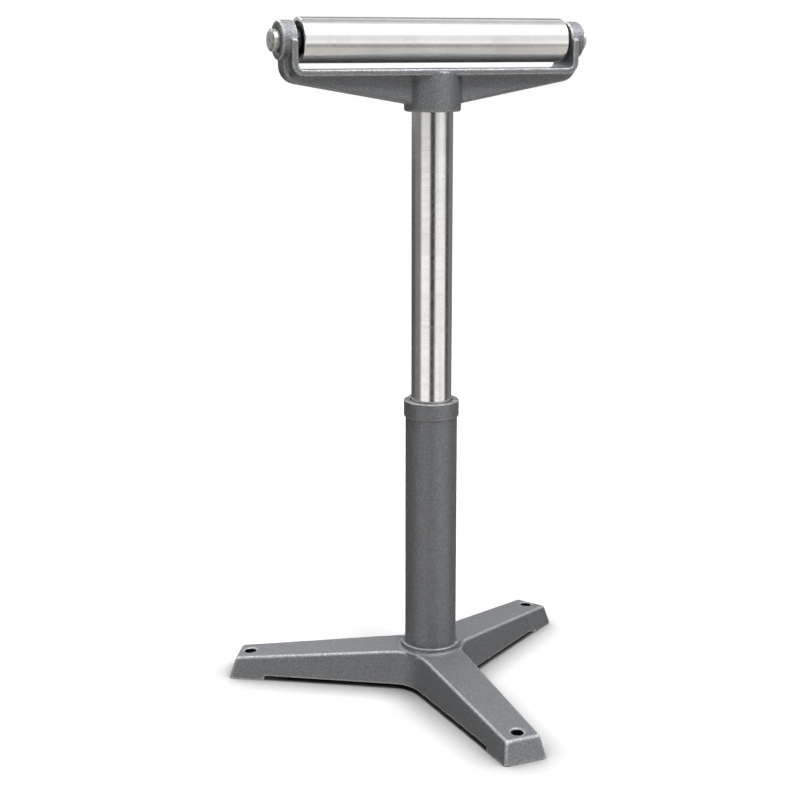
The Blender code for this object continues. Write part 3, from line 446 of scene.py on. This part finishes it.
def grey_paint():
    """Hammered enamel with aluminium flakes: soft dimples, pale flecks and a painted highlight on
    the thin edges.
    """
    material, tree, shader, where = finish_material("grey_hammered_enamel", PAINT_COLOUR, 0.4,
                                                    PAINT_METALLIC)
    mottle = noise(tree, where, MOTTLE_SCALE, 4.0)
    ground = blend(tree, spread(tree, mottle, 0.0, 1.0), PAINT_DARK, PAINT_LIGHT)
    specks = noise(tree, where, FLAKE_SCALE, 1.0)
    fleck = spread(tree, specks, 0.0, FLAKE_SHARE, FLECK_START, FLECK_FULL)
    flecked = blend(tree, fleck, ground, FLAKE_COLOUR)
    shape = tree.nodes.new("ShaderNodeNewGeometry")
    edge = spread(tree, shape.outputs["Pointiness"], 0.0, 1.0, EDGE_START, EDGE_FULL)
    spots = spread(tree, specks, EDGE_HIGHLIGHT_LEAST, 1.0, EDGE_HIGHLIGHT_START, EDGE_HIGHLIGHT_FULL)
    # Painted highlight: the base colour is lightened on convex edges, in spots.
    edge_highlight = product(tree, edge, spots)
    tree.links.new(blend(tree, edge_highlight, flecked, EDGE_HIGHLIGHT_COLOUR), shader.inputs["Base Color"])
    dimples = noise(tree, where, DIMPLE_SCALE, 1.0)
    tree.links.new(spread(tree, dimples, PAINT_SMOOTH, PAINT_ROUGH),
                   shader.inputs["Roughness"])
    bump(tree, shader, dimples, DIMPLE_STRENGTH, DIMPLE_HEIGHT)
    shader.inputs["Coat Weight"].default_value = PAINT_COAT
    shader.inputs["Coat Roughness"].default_value = PAINT_COAT_ROUGHNESS
    return material


def ground_steel(name, stretch):
    """Bright ground steel: fine grinding lines round the piece and slight wear marks."""
    material, tree, shader, where = finish_material(name, STEEL_COLOUR, 0.2, 1.0)
    lines = noise(tree, where, GRIND_SCALE, 3.0, stretch)
    tree.links.new(spread(tree, lines, STEEL_SMOOTH, STEEL_ROUGH), shader.inputs["Roughness"])
    wear = noise(tree, where, WEAR_SCALE, 4.0)
    two_tone(tree, shader, wear, STEEL_DARK, STEEL_LIGHT)
    bump(tree, shader, lines, GRIND_STRENGTH, GRIND_HEIGHT)
    return material


def turned_steel(name, dark, light, roughness, scale):
    """Steel with a grained, slightly uneven tone, for fasteners and axle ends."""
    material, tree, shader, where = finish_material(name, light, roughness, 1.0)
    grain = noise(tree, where, scale, 4.0)
    two_tone(tree, shader, grain, dark, light)
    tree.links.new(spread(tree, grain, roughness * GRAIN_SMOOTH, roughness * GRAIN_ROUGH),
                   shader.inputs["Roughness"])
    bump(tree, shader, grain, GRAIN_STRENGTH, GRAIN_HEIGHT)
    return material


def moulded_plastic(name, dark, light, roughness):
    """Moulded plastic with a fine even grain."""
    material, tree, shader, where = finish_material(name, light, roughness, 0.0)
    grain = noise(tree, where, PLASTIC_SCALE, 2.0)
    two_tone(tree, shader, grain, dark, light)
    bump(tree, shader, grain, PLASTIC_STRENGTH, PLASTIC_HEIGHT)
    return material


PAINT = grey_paint()
POST_STEEL = ground_steel("post_ground_steel", (0.02, 0.02, 1.0))
ROLLER_STEEL = ground_steel("roller_ground_steel", (1.0, 0.02, 0.02))
AXLE_STEEL = turned_steel("axle_steel", (0.46, 0.45, 0.42), (0.74, 0.73, 0.70), 0.30, 900.0)
DARK_STEEL = turned_steel("dark_steel", (0.06, 0.06, 0.065), (0.14, 0.14, 0.145), 0.35, 700.0)
BEARING_STEEL = turned_steel("bearing_steel", (0.58, 0.58, 0.59), (0.72, 0.72, 0.73), 0.16, 400.0)
# Near-black finish of the sleeves in the bolt holes: painted shade inside the holes.
BORE_SHADE_BLACK = turned_steel("painted_bore_shade", (0.010, 0.010, 0.011), (0.030, 0.030, 0.031), 0.6, 800.0)
BRASS = turned_steel("turned_brass", (0.52, 0.37, 0.14), (0.70, 0.52, 0.22), 0.28, 500.0)
BLACK_PLASTIC = moulded_plastic("black_plastic", (0.008, 0.008, 0.009), (0.016, 0.016, 0.017), 0.42)
BUSH_PLASTIC = moulded_plastic("bush_plastic", (0.52, 0.51, 0.47), (0.62, 0.61, 0.57), 0.5)


# Middles of the round pieces: on the column's axis, on the roller's, and on the clamping screw's
COLUMN_MIDDLE = (0.0, COLUMN_Y)
COLUMN_FOOT = (0.0, COLUMN_Y, 0.0)
ROLLER_MIDDLE = (COLUMN_Y, ROLLER_Z)
ROLLER_PLACE = (0.0, COLUMN_Y, ROLLER_Z)
LOCK_PLACE = (0.0, COLUMN_Y, LOCK_Z)
SIDES = ((-1, "left"), (1, "right"))


def make_castings():
    """The foot and the yoke."""
    cast_copy("base_casting", FOOT_CELL, PAINT, "foot")
    cast_copy("yoke_casting", YOKE_CELL, PAINT, "head")


def make_bolt_holes():
    """Near-black sleeves in the three floor-bolt holes, from the floor up to their chamfers:
    painted shade in the holes.
    """
    reach = COLUMN_Y - extent("base_casting")[0][1] - BOLT_INSET
    for number, word in enumerate(("front", "right", "left")):
        angle = math.radians(120.0 * number - 90.0)
        place = (reach * math.cos(angle), COLUMN_Y + reach * math.sin(angle), 0.0)
        section = tube(BOLT_RADIUS + BORE_SLEEVE, BOLT_RADIUS - BORE_SLEEVE, BOLT_FLOOR, BOLT_TOP)
        profile = rounded(section, BORE_SLEEVE / 4, True)
        piece = turned(f"bolt_bore_shade_{word}", profile, True, BORE_SHADE_BLACK, "foot", "Z", place,
                       SEGMENTS_SMALL)


def make_column():
    """Painted tube, the guides inside it, and the bright post with its snap rings."""
    for name, inner, edge, material, body in (
            ("column_tube", COLUMN_RADIUS - COLUMN_WALL, COLUMN_EDGE, PAINT, "foot"),
            ("guide_bush", POST_RADIUS + TOUCH, BUSH_EDGE, BUSH_PLASTIC, "foot"),
            ("guide_ring", POST_RADIUS + TOUCH, BUSH_EDGE, BUSH_PLASTIC, "post_guide"),
            ("post_tube", POST_RADIUS - POST_WALL, POST_EDGE, POST_STEEL, "head"),
            ("post_snap_ring_lower", POST_RADIUS - POST_GROOVE, HIDDEN_EDGE, DARK_STEEL, "head"),
            ("post_snap_ring_upper", POST_RADIUS - POST_GROOVE, HIDDEN_EDGE, DARK_STEEL, "head")):
        ring_for(name, inner, edge, material, body, "Z", COLUMN_MIDDLE)


def make_collar():
    """Ring with an inward lip on the column's top, and the clamping screw's boss."""
    low, high = COLLAR_LOW[2], COLLAR_HIGH[2]
    skirt = COLUMN_RADIUS + TOUCH
    lip = high - COLLAR_LIP
    corners = [(COLLAR_RADIUS, low), (COLLAR_RADIUS, high), (COLLAR_MOUTH, high),
               (COLLAR_MOUTH, lip), (skirt, lip), (skirt, low)]
    radii = [COLLAR_EDGE, COLLAR_EDGE, COLLAR_MOUTH_EDGE] + [HIDDEN_EDGE] * 3
    profile = rounded(corners, radii, True)
    piece = turned("collar_painted", profile, True, PAINT, "foot", place=COLUMN_FOOT)
    stands_for("column_collar")
    corners = tube(LOCK_BOSS_RADIUS, LOCK_SCREW_RADIUS + TOUCH, skirt + TOUCH, LOCK_BOSS_END)
    radii = [HIDDEN_EDGE, LOCK_BOSS_EDGE, LOCK_MOUTH_EDGE, HIDDEN_EDGE]
    profile = rounded(corners, radii, True)
    boss = turned("lock_boss_painted", profile, True, PAINT, "foot", "Y", LOCK_PLACE,
                  SEGMENTS_SMALL)


def make_socket_ring():
    """Raised ring of the foot round the column, with the fillet at its root."""
    skirt = RING_RADIUS + RING_SKIRT * RING_FILLET
    root = RING_ROOT + RING_LIFT
    low = RING_ROOT - RING_SINK
    corners = [(SOCKET_RADIUS, low), (skirt, low), (skirt, root),
               (RING_RADIUS, root), (RING_RADIUS, RING_TOP), (SOCKET_RADIUS, RING_TOP)]
    radii = [HIDDEN_EDGE, HIDDEN_EDGE, RING_SKIRT_EDGE, RING_FILLET, RING_EDGE,
             RING_MOUTH_EDGE]
    profile = rounded(corners, radii, True)
    piece = turned("socket_ring_painted", profile, True, PAINT, "foot", place=COLUMN_FOOT)


def make_roller():
    """Bright roller tube, and a black dished cap in each of its ends."""
    corners = tube(ROLLER_RADIUS, ROLLER_BORE, -ROLLER_HALF, ROLLER_HALF)
    radii = [ROLLER_EDGE, ROLLER_EDGE, ROLLER_BORE_EDGE, ROLLER_BORE_EDGE]
    profile = rounded(corners, radii, True)
    piece = turned("roller_ground", profile, True, ROLLER_STEEL, "roller", "X", ROLLER_PLACE)
    stands_for("roller_shell")
    outer = ROLLER_BORE - TOUCH
    dish = CAP_THICKNESS * CAP_DISH
    land = (outer - CAP_HOLE) * CAP_LAND
    inside = CAP_FACE - CAP_THICKNESS
    corners = [(outer, CAP_FACE), (outer, inside), (CAP_HOLE, inside),
               (CAP_HOLE, CAP_FACE - dish / 2), (CAP_HOLE + land, CAP_FACE - dish),
               (outer - land, CAP_FACE - dish), (outer - land * CAP_BEVEL, CAP_FACE)]
    for side, word in SIDES:
        profile = rounded([(r, side * h) for r, h in corners], CAP_EDGE, True)
        name = f"end_cap_{word}"
        piece = turned(name + "_moulded", profile, True, BLACK_PLASTIC, "roller", "X",
                       ROLLER_PLACE)
        stands_for(name)


def make_axle():
    """Fixed axle with a large chamfer and a centre hole at each end, and what sits on it."""
    floor = AXLE_END - AXLE_HOLE_DEPTH
    shoulder = AXLE_END - AXLE_CHAMFER * AXLE_CHAMFER_SLOPE
    half = [(0.0, floor), (AXLE_CENTRE_HOLE, floor), (AXLE_CENTRE_HOLE, AXLE_END),
            (AXLE_RADIUS - AXLE_CHAMFER, AXLE_END), (AXLE_RADIUS, shoulder)]
    corners = half + [(r, -h) for r, h in reversed(half)]
    radii = [0.0001, 0.0002, 0.0003, 0.0005, 0.0005]
    profile = rounded(corners, radii + radii[::-1], False)
    piece = turned("axle_turned", profile, False, AXLE_STEEL, "head", "X", ROLLER_PLACE)
    stands_for("axle_shaft")
    for _, word in SIDES:
        ring_for(f"spacer_{word}", AXLE_RADIUS + TOUCH, HIDDEN_EDGE, DARK_STEEL, "head", "X",
                 ROLLER_MIDDLE)
        ring_for(f"axle_snap_ring_{word}", AXLE_RADIUS - AXLE_GROOVE, SNAP_RING_EDGE,
                 DARK_STEEL, "head", "X", ROLLER_MIDDLE)


def race_profile(back, front, low, high, ball):
    """Section of a bearing ring: a rectangle with a circular groove in its face to the balls.

    A point of the groove at angle t is its track's centre plus the groove's radius times
    (cos t, sin t).
    """
    middle = (low + high) / 2
    race = ball + TOUCH
    reach = math.sqrt(race ** 2 - (front - BALL_TRACK) ** 2)
    half = math.atan2(reach, abs(front - BALL_TRACK))
    turn = np.linspace(-half, half, RACE_POINTS)
    side = math.copysign(1.0, front - BALL_TRACK)
    groove = np.stack([BALL_TRACK + side * race * np.cos(turn), middle + race * np.sin(turn)],
                      axis=1)
    return np.vstack([[(back, high), (back, low), (front, low)], groove, [(front, high)]])


def make_bearings():
    """Rings and balls of the two bearings inside the roller."""
    for _, word in SIDES:
        low, high = extent(f"bearing_outer_{word}")
        ball_low, ball_high = extent(f"ball_{word}_1")
        ball = (ball_high[0] - ball_low[0]) / 2
        outer = (high[2] - low[2]) / 2
        bore = AXLE_RADIUS + TOUCH
        for node, back, front, body in (
                (f"bearing_outer_{word}", outer, outer - BEARING_RING, "roller"),
                (f"bearing_inner_{word}", bore, bore + BEARING_RING, "head")):
            profile = race_profile(back, front, low[0], high[0], ball)
            piece = turned(node + "_ground", profile, True, BEARING_STEEL, body, "X",
                           ROLLER_PLACE)
            stands_for(node)
        for number in range(1, BALL_COUNT + 1):
            make_ball(f"ball_{word}_{number}", ball, f"cage_{word}")


def make_ball(name, radius, body):
    """Ball: the half circle radius (cos t, sin t) turned round its own axis."""
    low, high = extent(name)
    turn = np.linspace(-np.pi / 2, np.pi / 2, BALL_POINTS)
    profile = radius * np.stack([np.cos(turn), np.sin(turn)], axis=1)
    profile[[0, -1], 0] = 0.0
    piece = turned(name + "_ground", profile, False, BEARING_STEEL, body,
                   place=(low + high) / 2, segments=SEGMENTS_BALL)
    stands_for(name)


def make_set_screw(name):
    """Socket screw along Y: round outside, six-sided inside.

    A row's point at angle t is (r cos t, r sin t, h). In the socket r is the flat's distance
    divided by the cosine of the angle from the middle of its flat.
    """
    low, high = extent(name)
    radius = (high[0] - low[0]) / 2
    middle = (low + high) / 2
    angle = np.arange(SEGMENTS_SMALL) * 2 * np.pi / SEGMENTS_SMALL
    hexagon = SCREW_SOCKET / np.cos((angle + np.pi / 6) % (np.pi / 3) - np.pi / 6)
    edge = radius / SCREW_CHAMFER
    top, bottom = high[1], low[1]
    circle = np.ones(SEGMENTS_SMALL)
    rows = [(circle * (radius - edge), bottom), (circle * radius, bottom + edge),
            (circle * radius, top - edge), (circle * (radius - edge), top),
            (hexagon * SCREW_SOCKET_FLARE, top), (hexagon, top - SCREW_SOCKET_LEAD),
            (hexagon, top - SCREW_SOCKET_DEPTH)]
    across = np.stack([row[0] for row in rows])
    height = np.array([row[1] for row in rows])[:, None] + 0 * across
    points = np.stack([across * np.sin(angle), height, across * np.cos(angle)],
                      axis=-1).reshape(-1, 3)
    points[:, [0, 2]] += middle[[0, 2]]
    this = np.arange(SEGMENTS_SMALL)
    following = (this + 1) % SEGMENTS_SMALL
    row = np.arange(len(rows) - 1)[:, None] * SEGMENTS_SMALL
    faces = np.stack([row + this, row + following, row + SEGMENTS_SMALL + following,
                      row + SEGMENTS_SMALL + this], axis=-1).reshape(-1, 4).tolist()
    faces.append(this[::-1].tolist())
    faces.append((this + (len(rows) - 1) * SEGMENTS_SMALL).tolist())
    piece = mesh_piece(name + "_socket", points.tolist(), faces, DARK_STEEL, "head")
    piece.data.set_sharp_from_angle(angle=math.radians(30))
    stands_for(name)


def make_set_screws():
    """Two screws in the hub and one in each boss."""
    for name in ("hub_screw_lower", "hub_screw_upper", "axle_screw_left", "axle_screw_right"):
        make_set_screw(name)


def make_lock():
    """Clamping screw with its pad, arm and ball knob.

    The knob's section is the arc radius (cos t, sin t) below its flat top, and the bore that
    the arm stands in.
    """
    start = SCREW_HIGH[1] - COLUMN_Y - LOCK_HEAD_LENGTH
    end = start + LOCK_HEAD_LENGTH
    tip = SCREW_LOW[1] - COLUMN_Y
    head = (SCREW_HIGH[2] - SCREW_LOW[2]) / 2
    corners = [(0.0, end), (head, end), (head, start), (LOCK_SCREW_RADIUS, start),
               (LOCK_SCREW_RADIUS, tip), (0.0, tip)]
    radii = [0.0001, LOCK_HEAD_EDGE, 0.0008, HIDDEN_EDGE, 0.0006, 0.0001]
    profile = rounded(corners, radii, False)
    piece = turned("lock_screw_turned", profile, False, DARK_STEEL, "lock_lever", "Y",
                   LOCK_PLACE, SEGMENTS_SMALL)
    stands_for("lock_screw")
    low, high = extent("lock_pad")
    profile = rounded(rod((high[2] - low[2]) / 2, low[1], high[1]), LOCK_PAD_EDGE, False)
    piece = turned("lock_pad_turned", profile, False, BRASS, "lock_pad_body", "Y",
                   (0.0, 0.0, LOCK_Z), SEGMENTS_SMALL)
    stands_for("lock_pad")
    low, high = extent("lock_arm")
    middle = (low + high) / 2
    profile = rounded(rod((high[0] - low[0]) / 2, low[2], high[2]), LOCK_ARM_EDGE, False)
    piece = turned("lock_arm_turned", profile, False, DARK_STEEL, "lock_lever", "Z",
                   (middle[0], middle[1], 0.0), SEGMENTS_SMALL)
    stands_for("lock_arm")
    arm_radius = (high[0] - low[0]) / 2 + TOUCH
    arm_end = low[2]
    low, high = extent("lock_knob")
    radius = (high[0] - low[0]) / 2
    centre = low[2] + radius
    top = high[2] - centre
    turn = np.linspace(math.asin(top / radius), -np.pi / 2, KNOB_POINTS)
    ball = radius * np.stack([np.cos(turn), np.sin(turn)], axis=1)
    ball[-1, 0] = 0.0
    floor = arm_end - TOUCH - centre
    bore = [(0.0, floor), (arm_radius, floor), (arm_radius, top - LOCK_KNOB_LEAD),
            (arm_radius + LOCK_KNOB_LEAD, top)]
    piece = turned("lock_knob_moulded", np.vstack([bore, ball]), False, BLACK_PLASTIC,
                   "lock_lever", "Z", (middle[0], middle[1], centre), SEGMENTS_SMALL)
    stands_for("lock_knob")


def finish_small_nodes():
    """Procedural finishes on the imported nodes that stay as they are."""
    finishes = {"dark_steel": DARK_STEEL, "bearing_steel": BEARING_STEEL, "brass": BRASS,
                "black_plastic": BLACK_PLASTIC, "bush_plastic": BUSH_PLASTIC, "grey_paint": PAINT,
                "ground_steel": POST_STEEL}
    for name, item in frame["nodes"].items():
        item.data.materials.clear()
        item.data.materials.append(finishes[SLOTS[name]])


def emission(name, colour, strength):
    """Plain glowing material for a studio panel."""
    material = bpy.data.materials.new(name)
    material.use_nodes = True
    tree = material.node_tree
    tree.nodes.clear()
    glow = tree.nodes.new("ShaderNodeEmission")
    glow.inputs["Color"].default_value = (*colour, 1.0)
    glow.inputs["Strength"].default_value = strength
    out = tree.nodes.new("ShaderNodeOutputMaterial")
    tree.links.new(glow.outputs["Emission"], out.inputs["Surface"])
    return material


VIEW_YAW = math.radians(24.0)
CAMERA_PLACE = (-0.7538, -1.6010 + COLUMN_Y, 0.7725)
CAMERA_PITCH = math.radians(10.88)
CAMERA_LENS = 68.3          # mm
CAMERA_SENSOR = 36.0        # mm
CAMERA_SHIFT = -0.08
CAMERA_SIGHT = 100.0

WORLD_LIGHT = 0.27
FLOOR_WHITE = 0.90          # light that the floor adds for the camera, away from the stand
FLOOR_SEEN = (0.57, 0.57, 0.57)
FLOOR_PAINTED_SHADOW = (0.03, 0.03, 0.03)
FLOOR_CONTACT = 0.045       # reach of the painted contact shadow where the stand is near the floor
FLOOR_BOUNCE = (0.30, 0.30, 0.30)
FLOOR_HALF = 15.0
FADE_START = 0.2            # distance at which the floor starts to fade to white
FADE_END = 1.8
LAMP_TARGET = (0.0, 0.0, 0.4)
LAMPS = (                   # name, place, length of a side, watts
    ("top_lamp", (0.0, 0.25, 2.7), 1.3, 102.0),
    ("front_lamp", (0.15, -1.75, 2.7), 1.0, 62.0),
    ("right_lamp", (2.2, -0.9, 1.4), 1.2, 4.0))

DOME_RADIUS = 30.0
DOME_STEPS = 24
WARM = (1.0, 0.985, 0.965)
COOL = (0.975, 0.99, 1.0)
EARTH = (1.0, 0.97, 0.92)

# The dome's patches: name, azimuths, heights above the horizon, strength and colour
LOW = (-14.5, -1)
HIGH = (-1, 32)
CEILING = (32, 90)
SKIRTING = (-32, -14.5)
DOME = (
    ("low_far_left", (-165, -107), LOW, 0.09, WARM),
    ("low_left", (-107, -64), LOW, 0.21, WARM),
    ("low_window_left", (-64, -12), LOW, 1.12, WARM),
    ("low_behind_camera", (-12, 17), LOW, 0.035, WARM),
    ("low_window_right", (17, 78), LOW, 1.06, WARM),
    ("low_right", (78, 104), LOW, 0.055, WARM),
    ("low_far_right", (104, 165), LOW, 0.20, WARM),
    ("low_window_back", (165, 195), LOW, 0.80, WARM),
    ("high_far_left", (-160, -107), HIGH, 0.50, COOL),
    ("high_left", (-107, -64), HIGH, 0.27, COOL),
    ("high_window_left", (-64, -12), HIGH, 0.35, COOL),
    ("high_behind_camera", (-12, 17), HIGH, 0.07, COOL),
    ("high_window_right", (17, 38), HIGH, 0.35, COOL),
    ("high_window", (38, 64), HIGH, 0.90, COOL),
    ("high_right", (64, 104), HIGH, 0.18, COOL),
    ("high_far_right", (104, 160), HIGH, 0.20, COOL),
    ("high_back", (160, 200), HIGH, 0.25, COOL),
    ("ceiling_left", (-100, 24), CEILING, 1.0, COOL),
    ("ceiling_front", (24, 92), CEILING, 3.6, COOL),
    ("ceiling_right", (92, 114), CEILING, 0.93, COOL),
    ("ceiling_right_back", (114, 136), CEILING, 0.73, COOL),
    ("ceiling_far_right", (136, 156), CEILING, 0.58, COOL),
    ("ceiling_back_low", (156, 194), (32, 39), 0.30, COOL),
    ("ceiling_back_band", (156, 194), (39, 48), 1.1, COOL),
    ("ceiling_back", (156, 194), (48, 90), 0.48, COOL),
    ("back_light", (196, 240), (32, 66), 3.2, COOL),
    ("ceiling_left_back", (194, 260), (66, 90), 0.65, COOL),
    ("skirting_far_left", (-180, -66), SKIRTING, 0.14, WARM),
    ("skirting_left", (-66, -12), SKIRTING, 0.80, WARM),
    ("skirting_camera", (-12, 14), SKIRTING, 0.16, WARM),
    ("skirting_right", (14, 40), SKIRTING, 1.00, WARM),
    ("skirting_middle", (40, 60), SKIRTING, 0.29, WARM),
    ("skirting_far_right", (60, 84), SKIRTING, 0.85, WARM),
    ("skirting_side", (84, 180), SKIRTING, 0.16, WARM),
    ("ground", (-180, 180), (-78, -32), 0.585, EARTH),
    ("ground_below", (-180, 180), (-90, -78), 0.13, WARM))


def dome_patch(name, azimuth, height, strength, colour):
    """Part of a large dome round the stand, which only reflections see.

    Angles are in degrees. Azimuth is 0 towards the camera and grows to the camera's right,
    and height is above the horizon. A point is the dome's radius times
    (sin azimuth cos height, -cos azimuth cos height, sin height).
    """
    across = np.radians(np.linspace(*azimuth, DOME_STEPS + 1)) - VIEW_YAW
    up = np.radians(np.linspace(*height, DOME_STEPS + 1))[:, None]
    points = DOME_RADIUS * np.stack([np.sin(across) * np.cos(up), -np.cos(across) * np.cos(up),
                                     np.sin(up) + 0 * across], axis=-1).reshape(-1, 3)
    row = DOME_STEPS + 1
    corner = (np.arange(DOME_STEPS)[:, None] * row + np.arange(DOME_STEPS)).ravel()
    faces = np.stack([corner, corner + 1, corner + row + 1, corner + row], axis=1)
    mesh = bpy.data.meshes.new(name)
    mesh.from_pydata(points.tolist(), [], faces.tolist())
    mesh.materials.append(emission(name, colour, strength))
    patch = bpy.data.objects.new(name, mesh)
    bpy.context.scene.collection.objects.link(patch)
    patch.visible_camera = False
    patch.visible_diffuse = False
    patch.visible_shadow = False
    patch.visible_transmission = False


def make_dome():
    """Light and dark studio walls, ceiling and ground that give the bright steel its bands."""
    for patch in DOME:
        dome_patch(*patch)


def make_world():
    """White for the camera, and a plain even light for everything else."""
    world = bpy.data.worlds.new("studio")
    bpy.context.scene.world = world
    world.use_nodes = True
    tree = world.node_tree
    tree.nodes.clear()
    path = tree.nodes.new("ShaderNodeLightPath")
    light = tree.nodes.new("ShaderNodeBackground")
    light.inputs["Strength"].default_value = WORLD_LIGHT
    white = tree.nodes.new("ShaderNodeBackground")
    for shader in (light, white):
        shader.inputs["Color"].default_value = (1.0, 1.0, 1.0, 1.0)
    mix = tree.nodes.new("ShaderNodeMixShader")
    out = tree.nodes.new("ShaderNodeOutputWorld")
    tree.links.new(path.outputs["Is Camera Ray"], mix.inputs["Fac"])
    tree.links.new(light.outputs["Background"], mix.inputs[1])
    tree.links.new(white.outputs["Background"], mix.inputs[2])
    tree.links.new(mix.outputs["Shader"], out.inputs["Surface"])


def make_floor():
    """Pale floor that keeps the shadows; away from the stand the camera sees it fade to white.

    Its colour is a painted contact shadow: between the shaded and the pale one by the square
    of how open the floor is to the space above it, so it is dark close to the feet.
    It throws less light back up than it shows, so that the stand keeps its dark undersides.
    """
    corners = [(x * FLOOR_HALF, y * FLOOR_HALF, 0.0)
               for x, y in ((-1, -1), (1, -1), (1, 1), (-1, 1))]
    mesh = bpy.data.meshes.new("floor")
    mesh.from_pydata(corners, [], [(0, 1, 2, 3)])
    floor = bpy.data.objects.new("floor", mesh)
    bpy.context.scene.collection.objects.link(floor)
    floor.visible_glossy = False
    material, tree, shader, where = finish_material("floor_white", FLOOR_SEEN, 0.9, 0.0)
    shader.inputs["Specular IOR Level"].default_value = 0.0
    distance = tree.nodes.new("ShaderNodeVectorMath")
    distance.operation = "LENGTH"
    tree.links.new(where, distance.inputs[0])
    fade = spread(tree, distance.outputs["Value"], 0.0, FLOOR_WHITE, FADE_START, FADE_END)
    path = tree.nodes.new("ShaderNodeLightPath")
    seen = path.outputs["Is Camera Ray"]
    # Painted contact shadow: the floor's colour darkens where the stand closes it in.
    nearness = tree.nodes.new("ShaderNodeAmbientOcclusion")
    nearness.inputs["Distance"].default_value = FLOOR_CONTACT
    openness = product(tree, nearness.outputs["AO"], nearness.outputs["AO"])
    shown = blend(tree, openness, FLOOR_PAINTED_SHADOW, FLOOR_SEEN)
    tree.links.new(blend(tree, seen, FLOOR_BOUNCE, shown), shader.inputs["Base Color"])
    shader.inputs["Emission Color"].default_value = (1.0, 1.0, 1.0, 1.0)
    tree.links.new(product(tree, seen, fade), shader.inputs["Emission Strength"])
    mesh.materials.append(material)


def make_lamp(name, place, size, power):
    """Square soft lamp that faces the stand's middle and that reflections don't see.

    It is tipped by the angle between its aim and straight down, and turned to the aim's side.
    """
    data = bpy.data.lights.new(name, "AREA")
    data.shape = "SQUARE"
    data.size = size
    data.energy = power
    item = bpy.data.objects.new(name, data)
    item.location = place
    aim = np.array(LAMP_TARGET) - np.array(place)
    tip = math.atan2(math.hypot(aim[0], aim[1]), -aim[2])
    item.rotation_euler = (tip, 0.0, math.atan2(-aim[0], aim[1]))
    item.visible_glossy = False
    bpy.context.scene.collection.objects.link(item)


def make_camera():
    """Camera at the photograph's place: a little left of the stand and level with its roller."""
    camera = bpy.data.cameras.new("camera")
    camera.lens = CAMERA_LENS
    camera.sensor_width = CAMERA_SENSOR
    camera.shift_y = CAMERA_SHIFT
    camera.clip_end = CAMERA_SIGHT
    eye = bpy.data.objects.new("camera", camera)
    eye.location = CAMERA_PLACE
    eye.rotation_euler = (math.pi / 2 - CAMERA_PITCH, 0.0, -VIEW_YAW)
    bpy.context.scene.collection.objects.link(eye)
    bpy.context.scene.camera = eye


def make_studio():
    """Floor, surroundings, lamps and camera."""
    bpy.context.scene.view_settings.view_transform = "Standard"
    make_dome()
    make_world()
    make_floor()
    for lamp in LAMPS:
        make_lamp(*lamp)
    make_camera()


finish_small_nodes()
make_castings()
make_column()
make_collar()
make_socket_ring()
make_bolt_holes()
make_roller()
make_axle()
make_bearings()
make_set_screws()
make_lock()
make_studio()
